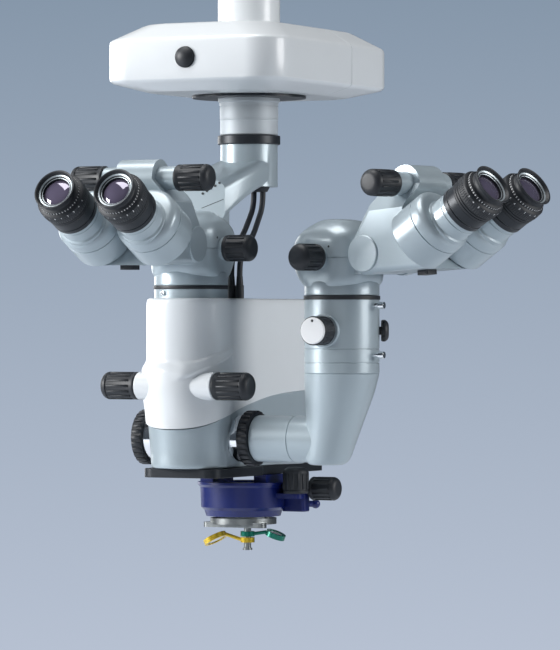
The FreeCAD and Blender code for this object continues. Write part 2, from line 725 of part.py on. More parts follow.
def port_collars():
    collars = []
    for s in (-1, 1):
        face = s * (PORT_RING_X[0] - PLAY)
        flange = along_x(COLLAR_R + COLLAR_FLANGE, (s * COLLAR_FLANGE_X, face), (PORT_Y, PORT_Z))
        sleeve = along_x(COLLAR_R, (s * COLLAR_START, s * COLLAR_END), (PORT_Y, PORT_Z))
        bore = along_x(PORT_BORE_R, (s * (COLLAR_START - 1), s * (COLLAR_END + 1)), (PORT_Y, PORT_Z))
        collars.append(fuse(sleeve, flange).cut(bore))
    return Part.makeCompound(collars)


def port_ring(s):
    x = sorted((s * PORT_RING_X[0], s * PORT_RING_X[1]))
    return knurled_ring(PORT_RING_R, COLLAR_R + RUN_GAP, x, (0, PORT_Y, PORT_Z))


def observer_elbow():
    ring_face = PORT_RING_X[1] + PLAY
    flange = pipe(OBSERVER_TUBE_R, COLLAR_R, (ring_face, PORT_Y, PORT_Z), (COLLAR_END, PORT_Y, PORT_Z))
    tube = along_x(OBSERVER_TUBE_R, (COLLAR_END, ELBOW_FOOT_X + ELBOW_LAP), (PORT_Y, PORT_Z))
    circles = [Part.Wire(Part.makeCircle(r, V(x, PORT_Y, z), V(0, 0, 1))) for z, x, r in ELBOW]
    column = Part.makeLoft(circles, True, False)
    return fuse(flange, tube, column)


def observer_column():
    z0, z1 = OBSERVER_SEAM, OBSERVER_TOP - OBSERVER_RING_T
    x, y = OBSERVER_X, PORT_Y
    body = upright(OBSERVER_R, (z0, z1), (x, y))
    neck = upright(NECK_R, (z1, OBSERVER_TOP + NECK_H), (x, y))
    ring = upright(OBSERVER_R + OBSERVER_RING, (z1, OBSERVER_TOP - PLAY), (x, y))
    front = PORT_Y - OBSERVER_R

    def across(radius, start, end):
        return along_y(radius, (start, end), (SPLITTER_X, SPLITTER_Z))

    boss = across(SPLITTER_R + SPLITTER_BOSS, front + SPLITTER_STEM, front - 1)
    bore = across(SHAFT_R + RUN_GAP, front - SPLITTER_BOSS, front + SPLITTER_BORE)
    side = side_axis()
    deep, out = OBSERVER_R - SIDE_KNOB_STEM, OBSERVER_R + 1
    pocket = cyl(SHAFT_R + RUN_GAP, (x + side[0] * deep, y + side[1] * deep, SPLITTER_Z),
                 (x + side[0] * out, y + side[1] * out, SPLITTER_Z))
    seat = x + OBSERVER_R - SCREW_SEAT
    holes = [along_x(SCREW_R, (seat, seat + SCREW_HOLE), (SCREW_Y, z)) for z in SCREW_Z]
    return fuse(body, ring, neck, boss).cut(bore).cut(pocket).cut(Part.makeCompound(holes))


def side_axis():
    turn = math.radians(SIDE_KNOB_TURN)
    return math.cos(turn), math.sin(turn)


def at_splitter(shape):
    """Carry a shape made along +Z to the splitter's boss, growing forward."""
    return aim(shape, (SPLITTER_X, PORT_Y - OBSERVER_R - 1 - PLAY, SPLITTER_Z), (0, -1, 0))


def splitter_knob():
    knob = fluted_knob(SPLITTER_R, SPLITTER_L + 4, (0, 0, 0), (0, 0, 1))
    flat = upright(SPLITTER_R + 1, (SPLITTER_L, SPLITTER_L + 9), (0, 0))
    stem = upright(SHAFT_R, (-SPLITTER_STEM, 1), (0, 0))
    return at_splitter(fuse(knob.cut(flat), stem))


def splitter_cap():
    return at_splitter(cone(*CAP_R, (0, 0, SPLITTER_L), (0, 0, SPLITTER_L + CAP_T)))


def observer_side_knob():
    side = side_axis()
    out = OBSERVER_R + SIDE_KNOB_GAP
    knob = fluted_knob(SIDE_KNOB_R, SIDE_KNOB_L, (0, 0, 0), (0, 0, 1), 10)
    stem = upright(SHAFT_R, (-SIDE_KNOB_STEM, 1), (0, 0))
    return aim(fuse(knob, stem), (OBSERVER_X + side[0] * out, PORT_Y + side[1] * out, SPLITTER_Z), (*side, 0))


def zoom_knobs():
    start = HORN_X + PLAY
    shaft = along_x(SHAFT_R, (-start - 2, start + 2), (HORN_Y, HORN_Z))
    right = fluted_knob(HORN_R, HORN_KNOB_L, (start, HORN_Y, HORN_Z), (1, 0, 0))
    left = fluted_knob(HORN_R, HORN_KNOB_L, (-start, HORN_Y, HORN_Z), (-1, 0, 0))
    return fuse(shaft, right, left)


def tube_base(s):
    """The domed base; its inverter knob is on side s."""
    foot = upright(TUBE_R, (0, FOOT_H), (0, 0))
    half = 50.0
    crest = Part.BSplineCurve()
    crest.interpolate([V(-half, y, z) for y, z in DOME_CREST])
    low = [V(-half, y, z) for y, z in DOME_FOOT]
    lines = [Part.LineSegment(a, b).toShape() for a, b in zip(low, low[1:])]
    slab = Part.Face(Part.Wire([crest.toShape()] + lines)).extrude(V(2 * half, 0, 0))
    sides = (-DOME_SIDE, DOME_SIDE)
    plan = rounded_block(sides, (DOME_FRONT, DOME_BACK + 1), (0, DOME_TOP + 1), DOME_PLAN_CORNER)
    arch = rounded_block(sides, (-30, DOME_TOP + 1), (-60, 60), DOME_ARCH_CORNER)
    arch.rotate(V(0, 0, 0), V(1, 0, 0), 90)
    dome = slab.common(plan).common(arch)
    y, z = PIVOT
    r = PIVOT_R - 1
    tongue = along_x(r, (-TONGUE_HALF, TONGUE_HALF), (y, z))
    web = block((-TONGUE_HALF, TONGUE_HALF), (y, -20), (z - r, z + r - 7))
    pin = along_x(PIVOT_PIN_R + RUN_GAP, (-TONGUE_HALF - 1, TONGUE_HALF + 1), (y, z))
    body = fuse(foot, dome, tongue, web).cut(pin)
    bore_x, _, boss_x = INVERTER_INNER
    face = INVERTER_X[0] - PLAY
    boss = along_x(INVERTER_R - INVERTER_BOSS, (s * boss_x, s * face), (0, INVERTER_Z))
    bore = along_x(SHAFT_R + RUN_GAP, (s * bore_x, s * INVERTER_X[1]), (0, INVERTER_Z))
    return fuse(body, boss).cut(bore).cut(upright(NECK_R + RUN_GAP, (-1, NECK_BORE_H), (0, 0)))


def inverter_knob(s):
    x0, x1 = INVERTER_X
    knob = fluted_knob(INVERTER_R, x1 - x0, (s * x0, 0, INVERTER_Z), (s, 0, 0), 10)
    stem = along_x(SHAFT_R, (s * INVERTER_INNER[1], s * (x0 + 1)), (0, INVERTER_Z))
    return fuse(knob, stem)


def view_axis():
    tilt = math.radians(VIEW_TILT)
    return V(0, -math.cos(tilt), math.sin(tilt))


def across_axis():
    tilt = math.radians(VIEW_TILT)
    return V(0, math.sin(tilt), math.cos(tilt))


def tilt_profile(x, inset):
    """Side outline of the tilting head from its pivot to the face that carries the prisms."""
    def on_round(centre, radius, degrees):
        turn = math.radians(degrees)
        return V(x, centre[0] + radius * math.cos(turn), centre[1] + radius * math.sin(turn))

    face = V(x, *PRISM_AT)
    high = face + across_axis() * PRISM_R
    low = face - across_axis() * (PRISM_R - 2)
    under, front, back = [on_round(PIVOT, PIVOT_R - inset, angle) for angle in PIVOT_ARC]
    top = [on_round(BRIDGE, BRIDGE_R - inset, angle) for angle in BRIDGE_ARC]
    edges = [Part.Arc(under, front, back).toShape(), Part.LineSegment(back, top[0]).toShape(),
             Part.Arc(*top).toShape(), Part.LineSegment(top[2], high).toShape(),
             Part.LineSegment(high, low).toShape(), Part.LineSegment(low, under).toShape()]
    return Part.Wire(edges)


def tilt_head():
    w, edge = CHEEK_HALF, CHEEK_EDGE
    middle = Part.Face(tilt_profile(edge - w, 0)).extrude(V(2 * (w - edge), 0, 0))
    left = Part.makeLoft([tilt_profile(-w, edge), tilt_profile(edge - w, 0)], True, True)
    right = Part.makeLoft([tilt_profile(w - edge, 0), tilt_profile(w, edge)], True, True)
    y, z = PIVOT
    gap = TONGUE_HALF + PLAY
    slot = along_x(PIVOT_R - 1 + PLAY, (-gap, gap), (y, z))
    fork = block((-gap, gap), (y - 6, y + PIVOT_R + 2), (z - PIVOT_R - 2, z + PIVOT_R + 2))
    body = fuse(left, middle, right).cut(slot).cut(fork)
    top = BRIDGE[1] + BRIDGE_R + 1
    back = BRIDGE[0] + BRIDGE_R + PIVOT_R
    for s in (-1, 1):
        x = sorted((s * BRIDGE_HALF, s * (w + 1)))
        body = body.cut(block(x, (BRIDGE[0] - BRIDGE_R - 1, back), (CHEEK_TOP, top)))
    pin = along_x(PIVOT_PIN_R, (edge - w, w - edge), (y, z))
    caps = [along_x(PIVOT_R - 6, (s * (w - 1), s * (w + PIVOT_CAP)), (y, z)) for s in (-1, 1)]
    by, bz = BRIDGE
    face = PD_KNOB_X[0] - PLAY
    collars = [along_x(PD_KNOB_R - 1.6, (s * (BRIDGE_HALF - 1), s * face), (by, bz)) for s in (-1, 1)]
    shaft = along_x(SHAFT_R + RUN_GAP, (-PD_KNOB_X[1], PD_KNOB_X[1]), (by, bz))
    return fuse(body, pin, *caps, *collars).cut(shaft).cut(hinge_bores())


def prism_origin(s):
    return V(s * PRISM_X, *PRISM_AT)


def along_view(r, start, a, b):
    """A cylinder along the eyepiece axis, from a to b beyond start."""
    return Part.makeCylinder(r, b - a, start + view_axis() * a, view_axis())


def hinge_bores():
    bores = [along_view(PIN_R + RUN_GAP, prism_origin(s), -PIN_L - 1, 1) for s in (-1, 1)]
    return Part.makeCompound(bores)


def pd_knobs():
    by, bz = BRIDGE
    x0, x1 = PD_KNOB_X
    shaft = along_x(SHAFT_R, (-x0 - 2, x0 + 2), (by, bz))
    knobs = [fluted_knob(PD_KNOB_R, x1 - x0, (s * x0, by, bz), (s, 0, 0)) for s in (-1, 1)]
    return fuse(shaft, *knobs)


def eye_origin(s):
    return prism_origin(s) - across_axis() * PUPIL_OFFSET


def prism_housing(s):
    start, eye = prism_origin(s), eye_origin(s)
    tip_l, tip_in = PRISM_TIP
    tip_at = start + view_axis() * (PRISM_L - tip_l + PLAY)
    body = along_view(PRISM_R, start, PLAY, PRISM_L - tip_l + PLAY)
    tip = Part.makeCone(PRISM_R, PRISM_R - tip_in, tip_l, tip_at, view_axis())
    at, wide, deep = PRISM_GROOVE
    core = along_view(PRISM_R - deep, start, at, at + wide)
    groove = along_view(PRISM_R + 1, start, at, at + wide).cut(core)
    pin = along_view(PIN_R, start, PLAY - PIN_L, 1)
    eyepiece_holder = along_view(HOLDER_R, eye, PRISM_L - 1, PRISM_L + HOLDER_L)
    bore = along_view(HOLDER_BORE_R, eye, PRISM_L - 3, PRISM_L + HOLDER_L + 1)
    return fuse(body, tip, pin, eyepiece_holder).cut(groove).cut(bore)


def barrel(s):
    at = PRISM_L + HOLDER_L
    eye = eye_origin(s)
    body = along_view(BARREL_R, eye, at, at + BARREL_L)
    neck = along_view(BARREL_NECK_R, eye, at, at + BARREL_L + BARREL_NECK_L)
    return fuse(body, neck).cut(along_view(BARREL_BORE_R, eye, at - 1, at + BARREL_L + BARREL_NECK_L + 1))


def diopter(s):
    axis, eye = view_axis(), eye_origin(s)
    start = PRISM_L + HOLDER_L + BARREL_L + PLAY
    length = DIOPTER_L - PLAY
    at = eye + axis * start
    ring_l = length * DIOPTER_RING
    ring = along_view(DIOPTER_R, at, 0, ring_l)
    wide_r, narrow_r, drop = DIOPTER_SHOULDER
    shoulder = Part.makeCone(wide_r, narrow_r, drop, at + axis * ring_l, axis)
    cup_at = ring_l + drop
    cup = Part.makeCone(*CUP_R, length - cup_at, at + axis * cup_at, axis)
    sleeve = along_view(BARREL_NECK_R + RUN_GAP, at, -1, BARREL_NECK_L + 0.5)
    bowl = Part.makeCone(*CUP_BOWL_R, CUP_DEPTH, at + axis * (length - CUP_DEPTH), axis)
    body = fuse(ring, shoulder, cup).cut(sleeve).cut(along_view(EYE_LENS_R, at, 0, length)).cut(bowl)
    wide = 2 * math.pi * DIOPTER_R / GRIP_NOTCHES * 0.4
    first, span = [share * length for share in GRIP_SPAN]
    cuts = []
    for i in range(GRIP_NOTCHES):
        notch = Part.makeBox(2 * GRIP_DEPTH, wide, span, V(DIOPTER_R - GRIP_DEPTH, -wide / 2, first))
        notch.rotate(V(0, 0, 0), V(0, 0, 1), 360.0 * i / GRIP_NOTCHES)
        cuts.append(notch)
    return body.cut(aim(Part.makeCompound(cuts), tuple(at), tuple(axis)))


def eye_lens(s):
    high = PRISM_L + HOLDER_L + BARREL_L + DIOPTER_L - CUP_DEPTH
    return along_view(EYE_LENS_R, eye_origin(s), high - EYE_LENS_T, high)


def binocular(name, side, at, turn, lift):
    """One binocular tube: its head is lifted about the pivot, then all is turned and carried to its seat."""
    fixed = {"tube_base": tube_base(side), "inverter_knob": inverter_knob(side)}
    lifted = {"tilt_head": tilt_head(), "pd_knobs": pd_knobs()}
    for word, s in (("left", -1), ("right", 1)):
        lifted["prism_" + word] = prism_housing(s)
        lifted["barrel_" + word] = barrel(s)
        lifted["diopter_" + word] = diopter(s)
        lifted["lens_" + word] = eye_lens(s)
    for shape in lifted.values():
        shape.rotate(V(0, *PIVOT), V(1, 0, 0), -lift)
    placed = {}
    for key, shape in {**fixed, **lifted}.items():
        shape = shape.copy()
        shape.rotate(V(0, 0, 0), V(0, 0, 1), turn)
        shape.translate(V(*at))
        placed[name + "_" + key] = shape
    return placed


def viewer_plate():
    low, top = PLATE_Z
    plate = rounded_block((-PLATE_X, PLATE_X), PLATE_Y, PLATE_Z, PLATE_CORNER)
    rails = []
    for s in (-1, 1):
        x = sorted((s * (RAIL_X - RAIL_W / 2), s * (RAIL_X + RAIL_W / 2)))
        rails.append(block(x, (PLATE_Y[1] - RAIL_LAP, RAIL_END_Y), PLATE_Z))
    stop = block((-RAIL_X, RAIL_X), (RAIL_END_Y - RAIL_STOP, RAIL_END_Y), (low + 2, top))
    window = upright(LENS_R + 3, (low - 1, top + 1), (0, PORT_Y))
    return fuse(plate, stop, *rails).cut(window)


def viewer_ring():
    z0, z1 = DRUM_Z
    y = VIEWER_Y
    wall = revolve([(DRUM_R - inset, z1 - drop) for inset, drop in DRUM_OUTSIDE + DRUM_INSIDE], (0, y))
    top = pipe(DRUM_R, LENS_R - 3, (0, y, z1 - DRUM_TOP_T), (0, y, z1))
    half, reach = SHOE
    shoes = []
    for s in (-1, 1):
        x = sorted((s * (RAIL_X - half), s * (RAIL_X + half)))
        shoes.append(block(x, (y - reach, y + reach), (z1 - 1, PLATE_Z[0] - PLAY)))
    centre = V(0, y, z0)
    start, end, rod_r = HANDLE
    handle = cyl(rod_r, tuple(centre + V(*start)), tuple(centre + V(*end)))
    ball = Part.makeSphere(HANDLE_BALL[1], centre + V(*HANDLE_BALL[0]))
    x, ky = LIFT_KNOB
    half = LUG_HALF
    lug = rounded_block((DRUM_R - half, x + half), (ky - half, ky + half), LIFT_LUG_Z, LUG_CORNER)
    lug = lug.cut(upright(DRUM_R - 3, (z0, z1), (0, y)))
    lift_bore = upright(SHAFT_R + RUN_GAP, (LIFT_LUG_Z[0] - 1, LIFT_LUG_Z[1] + 1), (x, ky))
    x, ky, z = SIDE_KNOB_AT
    side_bore = along_x(SHAFT_R + RUN_GAP, (DRUM_R - 12, x), (ky, z))
    return fuse(wall, top, lug, handle, ball, *shoes).cut(lift_bore).cut(side_bore)


def viewer_lift_knob():
    x, y = LIFT_KNOB
    low = LIFT_LUG_Z[1] + PLAY
    knob = fluted_knob(LIFT_KNOB_R, LIFT_KNOB_L, (x, y, low), (0, 0, 1))
    return fuse(knob, upright(SHAFT_R, (LIFT_LUG_Z[0], low + 1), (x, y)))


def viewer_side_knob():
    x, y, z = SIDE_KNOB_AT
    knob = fluted_knob(VIEWER_KNOB_R, VIEWER_KNOB_L, (x, y, z), (1, 0, 0))
    return fuse(knob, along_x(SHAFT_R, (DRUM_R - 10, x + 1), (y, z)))


def lens_carrier():
    y = VIEWER_Y
    z0, z1 = CARRIER_Z
    outer, inner, up = CARRIER_RING
    ring = pipe(outer, inner, (0, y, z0 + up), (0, y, z1))
    half, y0, y1, thick = CARRIER_ARM
    arm = rounded_block((-half, half), (y + y0, y + y1), (z0, z0 + thick), thick)
    gx, gr, low, under = CARRIER_GUIDE
    guides = [upright(gr, (z0 + low, DRUM_Z[1] - under), (s * gx, y)) for s in (-1, 1)]
    x, py = POST_AT
    lug = upright(POST_LUG_R, (z0, z0 + thick), (x, py))
    post = upright(POST_R, (POST_END, z0 + 1), (x, py))
    foot = upright(POST_R + POST_FOOT[0], (POST_END - POST_FOOT[1], POST_END), (x, py))
    return fuse(ring, arm, lug, post, foot, *guides)


def tilted(shape, tilt, at):
    shape.rotate(V(0, 0, 0), V(0, 1, 0), tilt)
    shape.translate(V(*at))
    return shape


def holder(r, tilt, at, z):
    """A lens ring on an arm whose hub turns on the post; the arm ends in the rim nearest the post."""
    x, y = POST_AT
    half = HUB_T / 2
    hub = pipe(HUB_R, POST_R + RUN_GAP, (x, y, z - half), (x, y, z + half))
    rim = tilted(pipe(r, r - HOLDER_RIM, (0, 0, -half), (0, 0, half)), tilt, at)
    toward = V(x - at[0], y - at[1], 0).normalize() * (r - HOLDER_RIM / 2)
    end = V(*at) + FreeCAD.Rotation(V(0, 1, 0), tilt).multVec(toward)
    start = V(x, y, z) + V(end.x - x, end.y - y, 0).normalize() * (HUB_R - 1)
    arm = Part.makeCylinder(HOLDER_ARM_R, (end - start).Length, start, end - start)
    return fuse(hub, rim, arm)


def viewer_lenses():
    sizes = ((YELLOW_R, YELLOW_TILT, YELLOW_AT), (GREEN_R, GREEN_TILT, GREEN_AT))
    half = GLASS_T / 2
    glasses = [tilted(upright(r - HOLDER_RIM, (-half, half), (0, 0)), tilt, at) for r, tilt, at in sizes]
    return Part.makeCompound(glasses)


def build():
    housing, cap = split_housing()
    nodes = {
        "column": column(), "coupling_housing": housing, "coupling_end_cap": cap,
        "centring_button": centring_button(), "x_rails": x_rails(), "x_carriage": x_carriage(),
        "y_carriage": y_carriage(), "swivel_stub": swivel_stub(), "clamp_ring": clamp_ring(),
        "carrier_arm": carrier_arm(), "cable_grommet": cable_grommet(), "cable_a": cable(CABLE_A),
        "cable_b": cable(CABLE_B), "cable_plugs": cable_plugs(), "body_cover": body_cover(),
        "body_base": body_base(), "tube_seat": tube_seat(), "clamp_screws": clamp_screws(),
        "objective_lens": objective_lens(), "port_collars": port_collars(),
        "observer_elbow": observer_elbow(), "observer_column": observer_column(),
        "splitter_knob": splitter_knob(), "splitter_cap": splitter_cap(),
        "observer_side_knob": observer_side_knob(), "zoom_knobs": zoom_knobs(),
        "left_port_ring": port_ring(-1), "right_port_ring": port_ring(1), "viewer_plate": viewer_plate(),
        "viewer_ring": viewer_ring(), "viewer_lift_knob": viewer_lift_knob(),
        "viewer_side_knob": viewer_side_knob(), "lens_carrier": lens_carrier(),
        "yellow_holder": holder(YELLOW_R, YELLOW_TILT, YELLOW_AT, YELLOW_HUB_Z),
        "green_holder": holder(GREEN_R, GREEN_TILT, GREEN_AT, GREEN_HUB_Z), "viewer_lenses": viewer_lenses(),
    }
    nodes.update(binocular("surgeon", 1, (0, FRONT_Y, HEAD_TOP + SEAT_H), 0.0, 0.0))
    assistant_at = (OBSERVER_X, PORT_Y, OBSERVER_TOP)
    nodes.update(binocular("assistant", -1, assistant_at, ASSISTANT_TURN, ASSISTANT_LIFT))
    return nodes


def export(nodes):
    os.makedirs("parts", exist_ok=True)
    for name, shape in nodes.items():
        shape.exportStep("parts/" + name + ".step")
        box = shape.BoundBox
        state = "ok" if shape.isValid() else "INVALID"
        span = [round(value, 1) for value in (box.XMin, box.XMax, box.YMin, box.YMax, box.ZMin, box.ZMax)]
        print(name, state, len(shape.Solids), *span, round(shape.Volume / 1000, 2))


export(build())
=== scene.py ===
import json
import math
import bmesh
import bpy
from mathutils import Matrix, Vector


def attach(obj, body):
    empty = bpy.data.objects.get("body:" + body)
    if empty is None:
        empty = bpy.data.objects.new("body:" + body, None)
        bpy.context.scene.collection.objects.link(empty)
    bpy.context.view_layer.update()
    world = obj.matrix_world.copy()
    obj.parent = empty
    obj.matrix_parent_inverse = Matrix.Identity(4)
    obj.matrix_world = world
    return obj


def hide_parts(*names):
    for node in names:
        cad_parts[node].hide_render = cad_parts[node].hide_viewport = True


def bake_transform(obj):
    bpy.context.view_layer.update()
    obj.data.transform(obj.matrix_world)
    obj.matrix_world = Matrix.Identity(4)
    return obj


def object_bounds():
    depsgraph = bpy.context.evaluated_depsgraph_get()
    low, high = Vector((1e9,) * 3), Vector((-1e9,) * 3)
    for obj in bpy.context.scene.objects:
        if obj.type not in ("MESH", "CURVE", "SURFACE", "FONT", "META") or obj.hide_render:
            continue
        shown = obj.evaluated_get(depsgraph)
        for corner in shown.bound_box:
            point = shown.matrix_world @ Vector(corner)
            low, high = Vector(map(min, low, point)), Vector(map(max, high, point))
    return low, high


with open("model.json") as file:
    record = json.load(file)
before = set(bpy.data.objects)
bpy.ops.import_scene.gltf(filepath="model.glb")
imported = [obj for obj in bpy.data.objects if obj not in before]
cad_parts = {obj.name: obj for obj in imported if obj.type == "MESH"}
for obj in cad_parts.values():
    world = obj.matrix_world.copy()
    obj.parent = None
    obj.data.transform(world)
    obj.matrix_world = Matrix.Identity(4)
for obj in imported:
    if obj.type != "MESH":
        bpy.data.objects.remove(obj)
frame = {"nodes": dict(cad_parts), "record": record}
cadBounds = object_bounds()
mm = 0.001
bodyOfNode = {node: body for body, nodes in frame["record"]["behaviour"]["bodies"].items() for node in nodes}

# the view of the photograph: from the surgeon's right, level with the head
view = {"azimuth": 27.0, "distance": 4.0, "aside": 0.031, "height": -0.345, "lens": 221.5}


def makeCamera():
    turn = math.radians(view["azimuth"])
    right = Vector((math.cos(turn), math.sin(turn), 0))
    back = Vector((math.sin(turn), -math.cos(turn), 0))
    data = bpy.data.cameras.new("camera")
    data.lens = view["lens"]
    data.sensor_width = 36
    data.clip_end = 60
    camera = bpy.data.objects.new("camera", data)
    bpy.context.scene.collection.objects.link(camera)
    camera.location = right * view["aside"] + back * view["distance"] + Vector((0, 0, view["height"]))
    camera.rotation_euler = (math.radians(90), 0, turn)
    bpy.context.scene.camera = camera


# lamps as (name, place, size, watts)
studio = {
    "target": (0.02, -0.1, -0.33),
    "lamps": [("keyLamp", (-2.6, -1.9, 0.45), 1.3, 134), ("rightLamp", (2.5, 0.35, 0.25), 1.2, 34),
              ("topLamp", (-0.5, -0.5, 2.1), 1.6, 52), ("frontLamp", (1.3, -3.3, -0.3), 2.2, 5),
              ("leftRimLamp", (-2.0, 1.3, 0.0), 1.2, 14)],
    "skyTop": (0.235, 0.305, 0.395), "skyBottom": (0.475, 0.535, 0.645), "fill": (0.055, 0.067, 0.083),
    "floorDrop": 0.42, "floorSize": 3.2, "floor": (0.62, 0.66, 0.72)}


def aimAt(obj, target):
    obj.rotation_euler = (Vector(target) - obj.location).to_track_quat("-Z", "Y").to_euler()


def makeStudio():
    for name, place, size, watts in studio["lamps"]:
        data = bpy.data.lights.new(name, "AREA")
        data.size = size
        data.energy = watts
        lamp = bpy.data.objects.new(name, data)
        bpy.context.scene.collection.objects.link(lamp)
        lamp.location = place
        aimAt(lamp, studio["target"])
    world = bpy.data.worlds.new("studio")
    bpy.context.scene.world = world
    world.use_nodes = True
    nodes, links = world.node_tree.nodes, world.node_tree.links
    nodes.clear()
    out = nodes.new("ShaderNodeOutputWorld")
    coords = nodes.new("ShaderNodeTexCoord")
    split = nodes.new("ShaderNodeSeparateXYZ")
    links.new(coords.outputs["Generated"], split.inputs[0])
    ramp = nodes.new("ShaderNodeMapRange")
    ramp.inputs["From Min"].default_value = -0.085
    ramp.inputs["From Max"].default_value = 0.085
    links.new(split.outputs["Z"], ramp.inputs["Value"])
    mix = nodes.new("ShaderNodeMix")
    mix.data_type = "RGBA"
    mix.inputs["A"].default_value = (*studio["skyBottom"], 1)
    mix.inputs["B"].default_value = (*studio["skyTop"], 1)
    links.new(ramp.outputs["Result"], mix.inputs["Factor"])
    seen = nodes.new("ShaderNodeBackground")
    links.new(mix.outputs["Result"], seen.inputs["Color"])
    fill = nodes.new("ShaderNodeBackground")
    fill.inputs["Color"].default_value = (*studio["fill"], 1)
    path = nodes.new("ShaderNodeLightPath")
    choose = nodes.new("ShaderNodeMixShader")
    links.new(path.outputs["Is Camera Ray"], choose.inputs[0])
    links.new(fill.outputs[0], choose.inputs[1])
    links.new(seen.outputs[0], choose.inputs[2])
    links.new(choose.outputs[0], out.inputs["Surface"])
    bpy.context.scene.view_settings.view_transform = "Standard"


def makeFloor():
    low = cadBounds[0][2] - studio["floorDrop"]
    half = studio["floorSize"]
    mesh = bpy.data.meshes.new("floor")
    corners = [(-half, -half, low), (half, -half, low), (half, half, low), (-half, half, low)]
    mesh.from_pydata(corners, [], [(0, 1, 2, 3)])
    floor = bpy.data.objects.new("floor", mesh)
    bpy.context.scene.collection.objects.link(floor)
    floor.data.materials.append(plainMaterial("floorPaper", studio["floor"], 0.9))


# materials
def newMaterial(name):
    material = bpy.data.materials.new(name)
    material.use_nodes = True
    tree = material.node_tree
    return material, tree.nodes, tree.links, tree.nodes["Principled BSDF"]


def plainMaterial(name, color, rough):
    material, nodes, links, shader = newMaterial(name)
    noise = grain(nodes, links, 60, 3)
    tintByNoise(nodes, links, shader, noise, color, 0.03)
    shader.inputs["Roughness"].default_value = rough
    return material


def grain(nodes, links, scale, detail):
    coords = nodes.new("ShaderNodeTexCoord")
    noise = nodes.new("ShaderNodeTexNoise")
    noise.inputs["Scale"].default_value = scale
    noise.inputs["Detail"].default_value = detail
    links.new(coords.outputs["Object"], noise.inputs["Vector"])
    return noise


def tintByNoise(nodes, links, shader, noise, color, spread):
    mix = nodes.new("ShaderNodeMix")
    mix.data_type = "RGBA"
    mix.inputs["A"].default_value = (*[c * (1 - spread) for c in color], 1)
    mix.inputs["B"].default_value = (*[min(1, c * (1 + spread)) for c in color], 1)
    links.new(noise.outputs["Fac"], mix.inputs["Factor"])
    links.new(mix.outputs["Result"], shader.inputs["Base Color"])


def roughByNoise(nodes, links, shader, noise, low, high):
    span = nodes.new("ShaderNodeMapRange")
    span.inputs["To Min"].default_value = low
    span.inputs["To Max"].default_value = high
    links.new(noise.outputs["Fac"], span.inputs["Value"])
    links.new(span.outputs["Result"], shader.inputs["Roughness"])


def bumpByNoise(nodes, links, shader, noise, strength, distance):
    bump = nodes.new("ShaderNodeBump")
    bump.inputs["Strength"].default_value = strength
    bump.inputs["Distance"].default_value = distance
    links.new(noise.outputs["Fac"], bump.inputs["Height"])
    links.new(bump.outputs["Normal"], shader.inputs["Normal"])


# finishes as (colour, metal, roughness from and to, coat, size of grain, bump)
finishes = {
    "white_paint": ((0.74, 0.77, 0.79), 0.0, (0.26, 0.34), 0.35, 900, 0.05),
    "silver_paint": ((0.39, 0.46, 0.50), 0.25, (0.30, 0.38), 0.25, 1400, 0.06),
    "cast_aluminium": ((0.52, 0.58, 0.61), 0.8, (0.38, 0.5), 0.0, 1300, 0.15),
    "turned_steel": ((0.46, 0.50, 0.53), 0.2, (0.52, 0.60), 0.0, 300, 0.02),
    "ground_steel": ((0.36, 0.38, 0.38), 1.0, (0.26, 0.36), 0.0, 900, 0.05),
    "chrome": ((0.86, 0.88, 0.90), 1.0, (0.07, 0.12), 0.0, 500, 0.01),
    "black_anodised": ((0.018, 0.022, 0.028), 0.3, (0.34, 0.44), 0.0, 1600, 0.05),
    "black_rubber": ((0.013, 0.016, 0.021), 0.0, (0.48, 0.60), 0.0, 1500, 0.12),
    "black_plastic": ((0.013, 0.016, 0.021), 0.0, (0.44, 0.56), 0.0, 1500, 0.12),
    "blue_plastic": ((0.004, 0.012, 0.115), 0.0, (0.26, 0.34), 0.2, 1200, 0.04),
    "white_cap": ((0.86, 0.87, 0.88), 0.0, (0.2, 0.3), 0.3, 900, 0.02),
    "yellow_anodised": ((0.72, 0.50, 0.04), 0.6, (0.22, 0.3), 0.2, 900, 0.03),
    "green_anodised": ((0.004, 0.16, 0.11), 0.5, (0.22, 0.3), 0.2, 900, 0.03),
}
# what all finishes share: the scales of clouding and of roughness, and the depth of the grain in metres
surface = {"cloud": (14, 2), "cloudSpread": 0.025, "wear": (55, 5), "grainDetail": 4, "grainDepth": 0.0002,
           "coatRough": 0.12}


def finishMaterial(name):
    color, metal, rough, coat, size, bump = finishes[name]
    material, nodes, links, shader = newMaterial(name)
    cloud = grain(nodes, links, *surface["cloud"])
    fine = grain(nodes, links, size, surface["grainDetail"])
    tintByNoise(nodes, links, shader, cloud, color, surface["cloudSpread"])
    roughByNoise(nodes, links, shader, grain(nodes, links, *surface["wear"]), *rough)
    bumpByNoise(nodes, links, shader, fine, bump, surface["grainDepth"])
    shader.inputs["Metallic"].default_value = metal
    shader.inputs["Coat Weight"].default_value = coat
    shader.inputs["Coat Roughness"].default_value = surface["coatRough"]
    return material


def glassMaterial(name, tint, coat):
    material, nodes, links, shader = newMaterial(name)
    mix = nodes.new("ShaderNodeMix")
    mix.data_type = "RGBA"
    mix.inputs["A"].default_value = (*tint, 1)
    mix.inputs["B"].default_value = (*coat, 1)
    links.new(grain(nodes, links, 25, 2).outputs["Fac"], mix.inputs["Factor"])
    links.new(mix.outputs["Result"], shader.inputs["Base Color"])
    roughByNoise(nodes, links, shader, grain(nodes, links, 40, 2), 0.02, 0.06)
    shader.inputs["Metallic"].default_value = 0.35
    shader.inputs["Coat Weight"].default_value = 1.0
    shader.inputs["Coat Roughness"].default_value = 0.02
    return material


